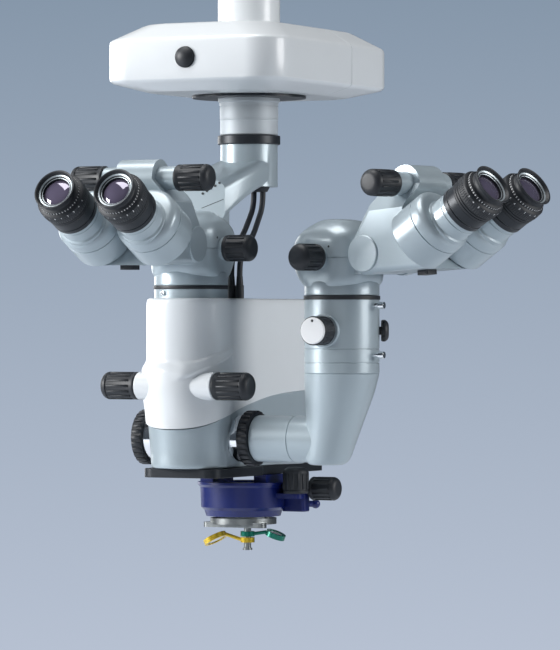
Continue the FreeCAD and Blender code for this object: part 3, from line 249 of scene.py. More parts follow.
materials = {name: finishMaterial(name) for name in finishes}
materials["coated_glass"] = glassMaterial("coated_glass", (0.060, 0.052, 0.085), (0.20, 0.17, 0.26))
materials["clear_glass"] = glassMaterial("clear_glass", (0.50, 0.56, 0.57), (0.66, 0.72, 0.72))
slotOfNode = {row["node"]: row["material_slot"] for row in frame["record"]["subparts"]}


def addPiece(name, mesh, body, finish, nodes=()):
    obj = bpy.data.objects.new(name, mesh)
    bpy.context.scene.collection.objects.link(obj)
    obj.data.materials.clear()
    obj.data.materials.append(materials[finish])
    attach(obj, body)
    if nodes:
        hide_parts(*nodes)
    return obj


# the mesh that stands for one CAD node, and then for no other
def dress(node, word, mesh, finish):
    made.add(node)
    return addPiece(node + "_" + word, mesh, bodyOfNode[node], finish, (node,))


# the object's mesh with its modifiers made plain; the working object goes
def finished(obj):
    bpy.context.view_layer.update()
    evaluated = obj.evaluated_get(bpy.context.evaluated_depsgraph_get())
    mesh = bpy.data.meshes.new_from_object(evaluated)
    bpy.data.objects.remove(obj)
    return mesh


# a CAD node's own surface, merged, with soft edges and smooth faces
def softMesh(node, edge):
    mesh = frame["nodes"][node].data.copy()
    work = bmesh.new()
    work.from_mesh(mesh)
    bmesh.ops.remove_doubles(work, verts=work.verts, dist=0.01 * mm)
    bmesh.ops.dissolve_limit(work, angle_limit=math.radians(0.6), verts=work.verts, edges=work.edges)
    markSmooth(work, 28)
    work.to_mesh(mesh)
    work.free()
    mesh.name = node + "_skin"
    obj = bpy.data.objects.new(node + "_work", mesh)
    bpy.context.scene.collection.objects.link(obj)
    if edge:
        softenEdges(obj, edge, angle=34)
    return finished(obj)


edges = {"default": 0.5, "sharp": ("x_carriage", "y_carriage"), "none": ("cable_a", "cable_b")}
made = set()


# the nodes that no finer piece stands for, by name
def dressNodes():
    pieces = {}
    for node in frame["nodes"]:
        if node in made or node in edges["none"]:
            continue
        frame["nodes"][node].data.materials.clear()
        frame["nodes"][node].data.materials.append(materials[slotOfNode[node]])
        edge = 0 if node in edges["sharp"] else edges["default"]
        pieces[node] = dress(node, "skin", softMesh(node, edge), slotOfNode[node])
    return pieces


# round pieces are turned from an outline of (radius, height) about their own axis
def latheMesh(name, outline, segments=96, edge=0.35, closed=True):
    work = bmesh.new()
    turns = [2 * math.pi * i / segments for i in range(segments)]
    rings = []
    for radius, height in outline:
        if radius < 1e-6:
            rings.append([work.verts.new((0, 0, height * mm))])
            continue
        around = [Vector((radius * math.cos(turn), radius * math.sin(turn), height)) for turn in turns]
        rings.append([work.verts.new(point * mm) for point in around])
    pairs = list(zip(rings, rings[1:]))
    if closed:
        pairs.append((rings[-1], rings[0]))
    for low, high in pairs:
        count = max(len(low), len(high))
        if count == 1:
            continue
        for i in range(count):
            j = (i + 1) % count
            corners = [low[i % len(low)], low[j % len(low)], high[j % len(high)], high[i % len(high)]]
            corners = list(dict.fromkeys(corners))
            if len(corners) > 2:
                work.faces.new(corners)
    mesh = meshOf(work, name, 30)
    if not edge:
        return mesh
    obj = bpy.data.objects.new(name + "_work", mesh)
    bpy.context.scene.collection.objects.link(obj)
    softenEdges(obj, edge)
    return finished(obj)


# the working mesh made plain, with its normals outward and its faces smooth up to an angle
def meshOf(work, name, angle):
    bmesh.ops.recalc_face_normals(work, faces=work.faces)
    markSmooth(work, angle)
    mesh = bpy.data.meshes.new(name)
    work.to_mesh(mesh)
    work.free()
    return mesh


def markSmooth(work, angle):
    for face in work.faces:
        face.smooth = True
    for rim in work.edges:
        rim.smooth = len(rim.link_faces) == 2 and rim.calc_face_angle(0) < math.radians(angle)


def softenEdges(obj, width, segments=2, angle=32):
    bevel = obj.modifiers.new("edge", "BEVEL")
    bevel.width = width * mm
    bevel.segments = segments
    bevel.limit_method = "ANGLE"
    bevel.angle_limit = math.radians(angle)
    bevel.harden_normals = True
    bevel.use_clamp_overlap = True


still = Matrix.Identity(4)


def upBy(height):
    return Matrix.Translation((0, 0, height * mm))


# a matrix whose +Z looks along direction from place, given in millimetres
def frameAt(place, direction):
    turn = Vector(direction).to_track_quat("Z", "Y").to_matrix().to_4x4()
    return Matrix.Translation(Vector(place) * mm) @ turn


def transformed(mesh, matrix):
    mesh.transform(matrix)
    return mesh


# one mesh from several, each with its own matrix
def joined(name, meshes):
    whole = bmesh.new()
    for mesh, matrix in meshes:
        part = mesh.copy()
        part.transform(matrix)
        whole.from_mesh(part)
        bpy.data.meshes.remove(part)
    mesh = bpy.data.meshes.new(name)
    whole.to_mesh(mesh)
    whole.free()
    return mesh


# Geometry Nodes: small bars set round a circle, as ribs, knurls and scale ticks
def barRingTree():
    tree = bpy.data.node_groups.new("bars round a circle", "GeometryNodeTree")
    tree.interface.new_socket("Geometry", in_out="OUTPUT", socket_type="NodeSocketGeometry")
    sockets = {}
    for label, kind, value in (("Count", "NodeSocketInt", 12), ("Radius", "NodeSocketFloat", 0.01),
                               ("Depth", "NodeSocketFloat", 0.001), ("Width", "NodeSocketFloat", 0.001),
                               ("Height", "NodeSocketFloat", 0.01), ("Material", "NodeSocketMaterial", None)):
        socket = tree.interface.new_socket(label, in_out="INPUT", socket_type=kind)
        if value is not None:
            socket.default_value = value
        sockets[label] = socket.identifier
    nodes, links = tree.nodes, tree.links
    given = nodes.new("NodeGroupInput")
    out = nodes.new("NodeGroupOutput")
    circle = nodes.new("GeometryNodeMeshCircle")
    links.new(given.outputs["Count"], circle.inputs["Vertices"])
    links.new(given.outputs["Radius"], circle.inputs["Radius"])
    size = nodes.new("ShaderNodeCombineXYZ")
    links.new(given.outputs["Depth"], size.inputs["X"])
    links.new(given.outputs["Width"], size.inputs["Y"])
    links.new(given.outputs["Height"], size.inputs["Z"])
    bar = nodes.new("GeometryNodeMeshCube")
    links.new(size.outputs[0], bar.inputs["Size"])
    place = nodes.new("GeometryNodeInputPosition")
    outward = nodes.new("FunctionNodeAlignRotationToVector")
    outward.axis = "X"
    links.new(place.outputs[0], outward.inputs["Vector"])
    spread = nodes.new("GeometryNodeInstanceOnPoints")
    links.new(circle.outputs[0], spread.inputs["Points"])
    links.new(bar.outputs["Mesh"], spread.inputs["Instance"])
    links.new(outward.outputs[0], spread.inputs["Rotation"])
    real = nodes.new("GeometryNodeRealizeInstances")
    links.new(spread.outputs[0], real.inputs[0])
    paint = nodes.new("GeometryNodeSetMaterial")
    links.new(real.outputs[0], paint.inputs["Geometry"])
    links.new(given.outputs["Material"], paint.inputs["Material"])
    links.new(paint.outputs[0], out.inputs[0])
    return tree, sockets


barTree, barSockets = barRingTree()


def barRing(name, count, radius, depth, width, height, finish, edge=0.25):
    obj = bpy.data.objects.new(name, bpy.data.meshes.new(name))
    bpy.context.scene.collection.objects.link(obj)
    growth = obj.modifiers.new("bars", "NODES")
    growth.node_group = barTree
    values = {"Count": count, "Radius": radius * mm, "Depth": depth * mm, "Width": width * mm,
              "Height": height * mm, "Material": materials[finish]}
    for label, value in values.items():
        growth[barSockets[label]] = value
    if edge:
        softenEdges(obj, edge)
    mesh = finished(obj)
    for face in mesh.polygons:
        face.use_smooth = True
    return mesh


# knobs as (node, [(base, direction, radius, length, flat end)]); a tube's knobs stand with the tube
knobs = {
    "ribs": 14, "ribDepth": 1.5, "ribWidth": 2.3, "ribFor": 13, "ribShare": 0.62, "ribStart": 0.16, "bend": 7.0,
    "fixed": [
        ("zoom_knobs", [((42.3, -150, -404), (1, 0, 0), 13.6, 38.5, 0),
                        ((-42.3, -150, -404), (-1, 0, 0), 13.6, 38.5, 0)]),
        ("splitter_knob", [((152, -140.3, -350.5), (0, -1, 0), 14.0, 21.0, 1)]),
        ("viewer_lift_knob", [((59.5, -14, -511.7), (0, 0, 1), 13.0, 26.0, 0)]),
        ("viewer_side_knob", [((66, 10, -507.5), (1, 0, 0), 11.8, 29.0, 0)])]}


def knobOutline(radius, length, flat):
    core, rim = radius - knobs["ribDepth"] * 0.55, radius * 0.995
    bend = 0.9 if flat else min(knobs["bend"], radius * 0.5)
    top = length - bend
    outline = [(0, 0), (radius * 0.93, 0), (radius * 0.99, 1.2), (radius * 0.99, length * 0.09),
               (core, length * 0.13), (core, length * 0.80), (rim, length * 0.83), (rim, top)]
    if flat:
        return outline + [(radius * 0.95, length), (0, length)]
    for step in range(1, 7):
        angle = math.pi / 2 * step / 7
        outline.append((rim - bend * (1 - math.cos(angle)), top + bend * math.sin(angle)))
    return outline + [(rim - bend * 1.02, length), (0, length + 0.1)]


def knobMesh(radius, length, flat):
    body = latheMesh("knob", knobOutline(radius, length, flat), 72, 0.25, closed=False)
    high, depth = length * knobs["ribShare"], knobs["ribDepth"]
    wide = knobs["ribWidth"] * radius / knobs["ribFor"]
    ribs = barRing("ribs", knobs["ribs"], radius - depth / 2, depth, wide, high, "black_plastic", 0.35)
    return joined("knob", [(body, still), (ribs, upBy(length * knobs["ribStart"] + high / 2))])


def makeKnobs(node, places, matrix=still):
    meshes = [(knobMesh(radius, length, flat), matrix @ frameAt(base, direction))
              for base, direction, radius, length, flat in places]
    dress(node, "grip", joined(node, meshes), "black_plastic")


# the binocular tubes stand in their own frame: forward is -Y, and the eyepieces look up it by their tilt
tubes = {
    "surgeon": {"at": (0, -122, -306.7), "turn": 0.0, "side": 1, "lift": 0.0},
    "assistant": {"at": (154, -103, -316.6), "turn": 77.0, "side": -1, "lift": 5.0},
    "tilt": 28.0, "prismAt": (31.6, -115.0, 44.0), "pupilOffset": 6.0, "pivot": (-55.0, 39.0),
    "inverterKnob": ((39, 0, 36), 13.0, 30.0), "spreadKnob": ((39, -98, 101), 12.8, 36.0)}


def tubeFrame(name):
    place = tubes[name]
    return Matrix.Translation(Vector(place["at"]) * mm) @ Matrix.Rotation(math.radians(place["turn"]), 4, "Z")


def headFrame(name):
    lift = math.radians(tubes[name]["lift"])
    pivot = Matrix.Translation(Vector((0, *tubes["pivot"])) * mm)
    return tubeFrame(name) @ pivot @ Matrix.Rotation(-lift, 4, "X") @ pivot.inverted()


# the eyepiece axis of one side: +Z runs out towards the eye, +X to the tube's right
def eyeFrame(name, s, offset):
    x, y, z = tubes["prismAt"]
    tilt = math.radians(tubes["tilt"])
    place = Vector((s * x, y, z)) - Vector((0, math.sin(tilt), math.cos(tilt))) * offset
    axis = Vector((0, -math.cos(tilt), math.sin(tilt)))
    right = Vector((1, 0, 0))
    turn = Matrix((right, axis.cross(right), axis)).transposed().to_4x4()
    return headFrame(name) @ Matrix.Translation(place * mm) @ turn


# heights run out along the eyepiece axis from the prism housing's inner end
prism = {"radius": 31.2, "length": 42.0, "groove": 27.0, "holderR": 22.0, "holderL": 18.0}
barrel = {"inner": 14.5, "radius": 23.0, "length": 15.0, "sleeveR": 18.0, "sleeveL": 16.0}
barrel["start"] = prism["length"] + prism["holderL"]
dioptre = {
    "start": barrel["start"] + barrel["length"] + 0.3, "radius": 24.0, "length": 29.7,
    "knurls": 64, "knurlZ": 10.6, "land": (20.8, 17.6, 20.2), "ticks": 44,
    "numbers": "54321012345", "numberSize": 3.1, "numberZ": 14.4, "numberStep": 16}
lens = {"radius": 14.0, "high": 5.0, "start": dioptre["start"] + dioptre["length"] - 10}


def prismOutline():
    r, length, g = prism["radius"], prism["length"], prism["groove"]
    return [(0, 0.3), (r - 1.5, 0.3), (r, 1.8), (r, g), (r - 0.9, g + 0.1), (r - 0.9, g + 1.1), (r, g + 1.2),
            (r, length - 6), (r - 1.2, length - 3.2), (r - 3.4, length - 1), (r - 6, length), (0, length)]


def holderOutline():
    r, high = prism["holderR"], prism["holderL"]
    return [(15, -4), (r + 1.8, -4), (r + 1.8, 1.2), (r, 2.6), (r, high - 4.5), (r - 0.6, high - 4.2),
            (r - 0.6, high - 3.6), (r, high - 3.3), (r, high), (15, high)]


def barrelOutline():
    inner, r, high, sleeve = barrel["inner"], barrel["radius"], barrel["length"], barrel["sleeveR"]
    end = high + barrel["sleeveL"]
    return [(inner, 0), (r - 0.6, 0), (r, 0.8), (r, 5), (r - 0.7, 5.4), (r - 0.7, 6.2), (r, 6.6), (r, high),
            (sleeve, high), (sleeve, end), (inner, end)]


def dioptreOutline():
    r, end = dioptre["radius"], dioptre["length"]
    land, low, high = dioptre["land"]
    foot = [(18.1, 0), (r - 0.7, 0), (r - 0.7, 2.4), (r - 1.5, 2.5), (r - 1.5, 3.3), (r - 0.3, 3.4),
            (r - 0.3, 5.2), (r - 1.1, 5.3), (r - 1.1, 6.1), (r, 6.2), (r, 15.6), (r - 0.7, 16.4),
            (land, low), (land, high)]
    cup = [(18.5, high + 1.5), (18.0, high + 2.6), (18.2, end - 4.2), (19.3, end - 2.4), (20.4, end - 0.9),
           (20.5, end - 0.3), (20.1, end), (19.1, end - 0.3), (18.4, end - 1.2), (17.2, end - 3.2),
           (14.6, end - 4.4), (14.1, end - 5), (14.0, 16.6), (18.1, 16.5)]
    return foot + cup


def numberMesh(word, size):
    curve = bpy.data.curves.new("number", "FONT")
    curve.body = word
    curve.size = size * mm
    curve.align_x = "CENTER"
    curve.align_y = "CENTER"
    curve.extrude = 0.06 * mm
    obj = bpy.data.objects.new("number", curve)
    bpy.context.scene.collection.objects.link(obj)
    return finished(obj)


# the dioptre numbers, set round the ring and read from outside
def numberMeshes(radius, height, matrix):
    meshes = []
    words = dioptre["numbers"]
    for i, word in enumerate(words):
        angle = math.radians(-90 + (i - (len(words) - 1) / 2) * dioptre["numberStep"])
        out = Vector((math.cos(angle), math.sin(angle), 0))
        side = Vector((-math.sin(angle), math.cos(angle), 0))
        spot = (out * (radius + 0.02) + Vector((0, 0, height))) * mm
        turn = Matrix((side, Vector((0, 0, 1)), out)).transposed().to_4x4()
        meshes.append((numberMesh(word, dioptre["numberSize"]), matrix @ Matrix.Translation(spot) @ turn))
    return meshes


def makePrism(node, box, eye):
    housingPart = latheMesh("housing", prismOutline(), 96, 0.3, False)
    holder = latheMesh("holder", holderOutline(), 96, 0.25)
    mesh = joined(node, [(housingPart, box), (holder, eye @ upBy(prism["length"]))])
    dress(node, "case", mesh, "silver_paint")


def makeDioptre(node, start):
    radius, body = dioptre["radius"], bodyOfNode[node]
    land, low, high = dioptre["land"]
    knurl = barRing("knurl", dioptre["knurls"], radius - 0.1, 0.6, 1.2, 6.4, "black_rubber", 0.2)
    ring = latheMesh("ring", dioptreOutline(), 96, 0.2)
    mesh = joined(node, [(ring, start), (knurl, start @ upBy(dioptre["knurlZ"]))])
    dress(node, "grip", mesh, "black_rubber")
    ticks = barRing("ticks", dioptre["ticks"], land, 0.3, 0.55, 1.9, "white_cap", 0)
    marks = numberMeshes(radius, dioptre["numberZ"], start) + [(ticks, start @ upBy((low + high) / 2))]
    addPiece(node + "_marks", joined(node + "_marks", marks), body, "white_cap")
    end = dioptre["length"]
    rim = [(14.05, end - 4.8), (16.8, end - 3.3), (17.1, end - 3.1), (17.4, end - 3.5), (14.3, end - 5.2)]
    addPiece(node + "_rim", transformed(latheMesh("rim", rim, 96, 0), start), body, "cast_aluminium")


def makeLens(node, start):
    r, high = lens["radius"], lens["high"]
    dome = [(0, 0), (r, 0), (r, 2.4), (12.5, 3.4), (9, 4.3), (4.5, 4.85), (0, high)]
    dress(node, "glass", transformed(latheMesh(node, dome, 64, 0, False), start), "coated_glass")


def makeTube(name):
    side = tubes[name]["side"]
    (x, y, z), radius, length = tubes["inverterKnob"]
    makeKnobs(name + "_inverter_knob", [((side * x, y, z), (side, 0, 0), radius, length, 0)], tubeFrame(name))
    (x, y, z), radius, length = tubes["spreadKnob"]
    pair = [((s * x, y, z), (s, 0, 0), radius, length, 0) for s in (1, -1)]
    makeKnobs(name + "_pd_knobs", pair, headFrame(name))
    makeTubeBase(name)
    makeTiltHead(name)
    for word, s in (("left", -1), ("right", 1)):
        eye = eyeFrame(name, s, tubes["pupilOffset"])
        makePrism(name + "_prism_" + word, eyeFrame(name, s, 0), eye)
        node = name + "_barrel_" + word
        tube = transformed(latheMesh(node, barrelOutline(), 96, 0.2), eye @ upBy(barrel["start"]))
        dress(node, "tube", tube, "black_anodised")
        makeDioptre(name + "_diopter_" + word, eye @ upBy(dioptre["start"]))
        makeLens(name + "_lens_" + word, eye @ upBy(lens["start"]))


# the base's dome: "back" and "front" are its outlines as (z, y), and it narrows above the arch's rise
tubeBase = {
    "half": 35.0, "corner": 26.0, "arch": (11.0, 24.0, 49.0),
    "levels": (8, 9.2, 11, 14, 18, 24, 30, 35.5, 35.6, 36.2, 36.3, 42, 47, 51, 55, 59, 62.5, 65.5, 68, 70, 71.5,
               72.5, 73),
    "seam": (35.55, 36.25, 0.7),
    "back": [(8, 30), (12, 35), (24, 43), (42, 46), (54, 42), (62, 35.5), (68, 27.5), (71.5, 19), (73, 11)],
    "front": [(8, -30), (14, -35.5), (40, -37.5), (56, -36), (62, -33), (68, -26), (71.5, -16), (73, -5)],
    "foot": 36.0, "footHigh": 14.0, "spigot": 16.05, "tongue": (19.0, 22.0), "boss": (11.0, 28.0, 38.7, 36),
    "dot": ((34.7, -12, 46.3), 1.1, 0.5)}


def domeLoops():
    back, front = through(tubeBase["back"]), through(tubeBase["front"])
    low, high, deep = tubeBase["seam"]
    mid, arch, rise = tubeBase["arch"]
    loops = []
    for z in tubeBase["levels"]:
        sunk = deep if low < z < high else 0
        half = (mid + math.sqrt(arch**2 - (z - rise)**2) if z > rise else tubeBase["half"]) - sunk
        y0, y1 = front(z) + sunk, back(z) - sunk
        corner = min(tubeBase["corner"], half * 0.96, (y1 - y0) * 0.48)
        loops.append([(x, y + (y0 + y1) / 2, z) for x, y in plateLoop(half, (y1 - y0) / 2, corner)])
    return loops


def makeTubeBase(name):
    here, s = tubeFrame(name), tubes[name]["side"]
    r, top, inner = tubeBase["foot"], tubeBase["footHigh"], tubeBase["spigot"]
    foot = [(inner, 0), (r - 0.6, 0), (r, 0.6), (r, top - 2.5), (r - 0.8, top - 0.8), (r - 3, top), (0, top),
            (0, 7), (inner, 7)]
    tongueR, half = tubeBase["tongue"]
    y, z = tubes["pivot"]
    bossR, near, far, bossZ = tubeBase["boss"]
    pieces = [stack("dome", domeLoops(), 50), latheMesh("foot", foot, 128, 0.25),
              rod(tongueR, (-half, y, z), (half, y, z)),
              boxMesh((0, y / 2 - 10, z - 3.5), (2 * half, -y - 20, 31), 2),
              rod(bossR, (s * near, 0, bossZ), (s * far, 0, bossZ))]
    node = name + "_tube_base"
    dress(node, "case", joined(node, [(piece, here) for piece in pieces]), "silver_paint")
    (x, y, z), r, proud = tubeBase["dot"]
    dot = rod(r, (s * x, y, z), (s * (x + proud), y, z), 24)
    addPiece(node + "_dot", transformed(dot, here), bodyOfNode[node], "black_plastic")


# the tilting head: two cheeks on the pivot below, a bridge above, and the mount of the prism housings
tiltHead = {
    "half": 36.0, "bend": 6.5, "steps": 6, "pivotR": 20.0, "pivotArc": (250, 398), "arcSteps": 24,
    "bridge": (-98.0, 101.0), "bridgeR": 18.0, "bridgeArc": (38, 212), "bridgeHalf": 20.0,
    "wedge": [(20, 125), (20, 100), (37, 77), (50, 77), (50, 125)], "wedgeY": (-140, -40),
    "high": 31.2, "low": 29.2, "slot": (9, 4, 32, 54), "gap": 0.3, "disc": (17.6, 1.7),
    "collar": (11.2, 38.7), "clamp": ((-8, -108, 16.4), (15, 13, 4.6), 1.5)}


def tiltProfile(x, inset):
    points = []
    for (y, z), r, (start, end) in ((tubes["pivot"], tiltHead["pivotR"], tiltHead["pivotArc"]),
                                    (tiltHead["bridge"], tiltHead["bridgeR"], tiltHead["bridgeArc"])):
        for i in range(tiltHead["arcSteps"] + 1):
            turn = math.radians(start + (end - start) * i / tiltHead["arcSteps"])
            points.append((x, y + (r - inset) * math.cos(turn), z + (r - inset) * math.sin(turn)))
    tilt = math.radians(tubes["tilt"])
    y, z = tubes["prismAt"][1:]
    for reach in (tiltHead["high"] - inset, inset - tiltHead["low"]):
        points.append((x, y + math.sin(tilt) * reach, z + math.cos(tilt) * reach))
    return points


def tiltForm():
    w, e, steps = tiltHead["half"], tiltHead["bend"], tiltHead["steps"]
    turns = [math.pi / 2 * i / steps for i in range(steps + 1)]
    bends = [(w - e + e * math.sin(turn), e * (1 - math.cos(turn))) for turn in turns]
    loops = [tiltProfile(-x, inset) for x, inset in reversed(bends)]
    loops += [tiltProfile(x, inset) for x, inset in bends]
    return stack("tilt", loops, 40)


def tiltCutters():
    y, z = tubes["pivot"]
    r, half = [size + tiltHead["gap"] for size in tubeBase["tongue"]]
    forward, up, deep, high = tiltHead["slot"]
    cutters = [rod(r, (-half, y, z), (half, y, z), 96)]
    cutters.append(boxMesh((0, y + forward, z + up), (2 * half, deep, high)))
    for s in (-1, 1):
        ends = [[(s * x, across, height) for x, height in tiltHead["wedge"]] for across in tiltHead["wedgeY"]]
        cutters.append(stack("wedge", ends))
    return cutters


def makeTiltHead(name):
    here = headFrame(name)
    w, e = tiltHead["half"], tiltHead["bend"]
    y, z = tubes["pivot"]
    by, bz = tiltHead["bridge"]
    work = bpy.data.objects.new("work", carved(tiltForm(), tiltCutters()))
    bpy.context.scene.collection.objects.link(work)
    softenEdges(work, 1.6, 3)
    pieces = [finished(work)]
    discR, proud = tiltHead["disc"]
    top = e + proud
    disc = [(0, 0), (discR, 0), (discR, top - 0.8), (discR - 0.8, top), (0, top + 0.4)]
    collarR, face = tiltHead["collar"]
    for s in (-1, 1):
        outward = frameAt((s * (w - e), y, z), (s, 0, 0))
        pieces.append(transformed(latheMesh("disc", disc, 96, 0.2, False), outward))
        pieces.append(rod(collarR, (s * (tiltHead["bridgeHalf"] - 1), by, bz), (s * face, by, bz)))
    node = name + "_tilt_head"
    dress(node, "case", joined(node, [(piece, here) for piece in pieces]), "silver_paint")
    clampBlock = transformed(boxMesh(*tiltHead["clamp"]), here)
    addPiece(node + "_clamp", clampBlock, bodyOfNode[node], "black_plastic")


# large round pieces, turned from fine outlines in place of the solids' facets
def turned(node, outline, closed=True, edge=0.35):
    dress(node, "turned", latheMesh(node, outline, 128, edge, closed), slotOfNode[node])


# points up the outside of a cylinder, with small square grooves at the given heights
def grooved(radius, low, high, grooves, depth=0.7, width=1.0):
    points = [(radius, low)]
    for z in sorted(grooves):
        below, above = z - width / 2, z + width / 2
        points += [(radius, below), (radius - depth, below), (radius - depth, above), (radius, above)]
    return points + [(radius, high)]


stub = {"top": -118.6, "bottom": -155.5, "rim": 31.0, "radius": 28.8, "spigot": 20.05, "nut": 24.3,
        "nutLow": 15, "nutHigh": 26, "grooves": (-127.0, -139.5)}
clamp = {"inner": 20.0, "radius": 31.3, "low": -165.0, "high": -155.8, "edge": 0.8}


def makeSwivel():
    top, low, r, rim = stub["top"], stub["bottom"], stub["radius"], stub["rim"]
    step, end = low + stub["nutLow"], low + stub["nutHigh"]
    outline = [(0, top), (rim, top), (rim, top - 3.5), (rim - 1.5, top - 4.6), (r + 0.6, top - 6.5)]
    outline += reversed(grooved(r + 0.4, low + 15.2, top - 8, stub["grooves"]))
    outline += [(r, low + 14.6), (r, low + 0.8), (r - 0.8, low), (stub["spigot"], low), (stub["spigot"], step),
                (stub["nut"], step), (stub["nut"], end), (0, end)]
    turned("swivel_stub", outline, closed=False)
    r, low, high, e, inner = clamp["radius"], clamp["low"], clamp["high"], clamp["edge"], clamp["inner"]
    outline = [(inner, low), (r - e, low), (r, low + e), (r, high - e), (r - e, high), (inner, high)]
    turned("clamp_ring", outline)


observer = {
    "at": (154, -103), "radius": 36.0, "low": -391.5, "top": -320.6, "grooves": (-368.0, -381.0), "neck": 16.0,
    "neckHigh": 10, "ringTop": -316.9, "boss": (152, -350.5, 16.0, 4.05), "capGap": 1.3, "dotUp": 9.5}


def makeObserver():
    x, y = observer["at"]
    post = Matrix.Translation((x * mm, y * mm, 0))
    r, low, top, neck = observer["radius"], observer["low"], observer["top"], observer["neck"]
    high, ringTop = top + observer["neckHigh"], observer["ringTop"]
    outline = [(0, low), (r - 0.7, low)] + grooved(r, low + 0.7, top, observer["grooves"])
    outline += [(neck, top), (neck, high), (0, high)]
    column = latheMesh("column", outline, 144, 0.2, False)
    bx, bz, br, bore = observer["boss"]
    boss = latheMesh("boss", [(bore, -14), (br, -14), (br, 0.4), (br - 0.6, 1), (bore, 1)], 64, 0.2)
    mesh = joined("observer_column", [(column, post), (boss, frameAt((bx, y - r, bz), (0, -1, 0)))])
    dress("observer_column", "case", mesh, "silver_paint")
    ring = [(r - 3, top - 0.2), (r + 0.8, top - 0.2), (r + 0.8, ringTop), (r - 3, ringTop)]
    ring = transformed(latheMesh("ring", ring, 144, 0.3), post)
    addPiece("observer_column_ring", ring, "head", "black_plastic")
    cap = latheMesh("cap", [(0, 21), (12.8, 21), (12.6, 22.2), (11.9, 22.9), (0, 23.1)], 64, 0, False)
    dot = latheMesh("dot", [(0, 23.0), (1.3, 23.0), (1.2, 23.25), (0, 23.3)], 16, 0, False)
    here = frameAt((bx, y - r - observer["capGap"], bz), (0, -1, 0))
    dress("splitter_cap", "face", transformed(cap, here), "white_cap")
    dot = transformed(dot, here @ Matrix.Translation((0, observer["dotUp"] * mm, 0)))
    addPiece("splitter_cap_dot", dot, bodyOfNode["splitter_cap"], "black_plastic")


# the elbow's column: its centre and radius by height, and its skin's levels as (height, inset)
elbow = {
    "x": [(-482, 137), (-440, 146), (-410, 151.5), (-391.5, 154)],
    "r": [(-482, 20.6), (-440, 27.5), (-410, 33.5), (-391.5, 36)],
    "foot": [(-479.6, 8), (-479.3, 5.6), (-478.2, 3.2), (-476.2, 1.4), (-473.4, 0.4), (-470, 0)],
    "sides": range(-462, -397, 8), "top": [(-391.9, 0), (-391.5, 0.6)],
    "tube": [(0, 66), (19, 66), (19, 63.8), (22, 63.8), (22.5, 64.3), (22.5, 104.6), (21.9, 104.7),
             (21.9, 105.4), (22.5, 105.5), (22.5, 140), (0, 140)]}


def makeElbow():
    centre, radius = through(elbow["x"]), through(elbow["r"])
    y = ports["y"]
    turns = [2 * math.pi * i / 128 for i in range(128)]
    loops = []
    for z, inset in elbow["foot"] + [(z, 0) for z in elbow["sides"]] + elbow["top"]:
        r = radius(z) - inset
        loops.append([(centre(z) + r * math.cos(turn), y + r * math.sin(turn), z) for turn in turns])
    tube = latheMesh("tube", elbow["tube"], 112, 0.2, False)
    along = frameAt((0, y, ports["z"]), (1, 0, 0))
    mesh = joined("observer_elbow", [(stack("column", loops, 50), still), (tube, along)])
    dress("observer_elbow", "case", mesh, "silver_paint")


# the bearing block of the viewer's side knob, as centre, size and corner
viewerBracket = ((51, 3, -517), (26, 14, 27), 4)


def makeViewerBracket():
    block = bpy.data.objects.new("work", boxMesh(*viewerBracket))
    bpy.context.scene.collection.objects.link(block)
    softenEdges(block, 1.2, 3)
    addPiece("viewer_bracket", finished(block), "viewer", "blue_plastic")


ports = {"y": -103.0, "z": -455.0, "ring": (52.5, 63.5, 27.0, 19.05), "knurls": 26, "collarLow": 28,
         "flange": (44, 52.2, 4), "collarEnd": 66.0, "outer": 19.0, "bore": 14.0}


def collarOutline():
    low, high, outer, bore = ports["collarLow"], ports["collarEnd"], ports["outer"], ports["bore"]
    near, far, proud = ports["flange"]
    return [(bore, low), (outer, low), (outer, near), (outer + proud, near), (outer + proud, far), (outer, far),
            (outer, high - 0.6), (outer - 0.6, high), (bore + 0.5, high), (bore, high - 0.5)]


def makePorts():
    x0, x1, r, inner = ports["ring"]
    land = r - 1.2
    outline = [(inner, x0), (land, x0), (land, x0 + 1), (land, x1 - 1), (land, x1), (inner, x1)]
    collars = []
    for word, s in (("left", -1), ("right", 1)):
        here = frameAt((0, ports["y"], ports["z"]), (s, 0, 0))
        bars = barRing("knurl", ports["knurls"], r - 1.0, 2.0, 4.3, x1 - x0 - 1.2, "black_plastic", 0.4)
        node = word + "_port_ring"
        mesh = joined(node, [(latheMesh("ring", outline, 128, 0.3), here), (bars, here @ upBy((x0 + x1) / 2))])
        dress(node, "grip", mesh, "black_plastic")
        collars.append((latheMesh("collar", collarOutline(), 96, 0.2), here))
    dress("port_collars", "turned", joined("port_collars", collars), "chrome")


# the head's cover and base: plans as height: (nose half width, waist half width, back half width, back y)
head = {
    "cover": {
        -460: (43, 41, 46, 61), -435: (43, 41, 47, 61), -398: (43.5, 40, 47.5, 61), -358: (43.5, 37, 46.5, 61),
        -326: (43.5, 38, 46.5, 61), -321: (42.9, 37.2, 45.9, 60.4), -319.6: (41.8, 36.2, 44.8, 59.3),
        -319: (40, 34.5, 43, 57.5)},
    "base": {
        -484: (36.5, 33, 40, 56), -483.2: (38.2, 34.6, 41.4, 57.2), -480.5: (39.0, 35.4, 42.1, 57.8),
        -468: (39.5, 36, 42.5, 58), -446: (41.5, 38, 44, 59), -400: (45, 40, 44.5, 59)},
    "seam": [(-230, -448), (-166, -446), (-124, -432), (-60, -419), (-11, -412.5), (40, -410), (130, -409)],
    "shoulder": (-326, -323, -321, -320.2, -319.6, -319.2, -319.0),
    "feet": (-484.0, -483.7, -483.2, -482, -480.5),
    "frontY": -122.0, "waistY": -72.0, "corner": 20.0, "top": -319.0, "bottom": -484.0, "lip": 0.7,
    "horn": (-150.0, -404.0, 13.6, 42.0), "shaftR": 4.05, "lensR": 27.0, "portR": (19.0, 28, 70),
    "pocket": (-8.0, -63.75, 32.6, 22.1, -385.0)}
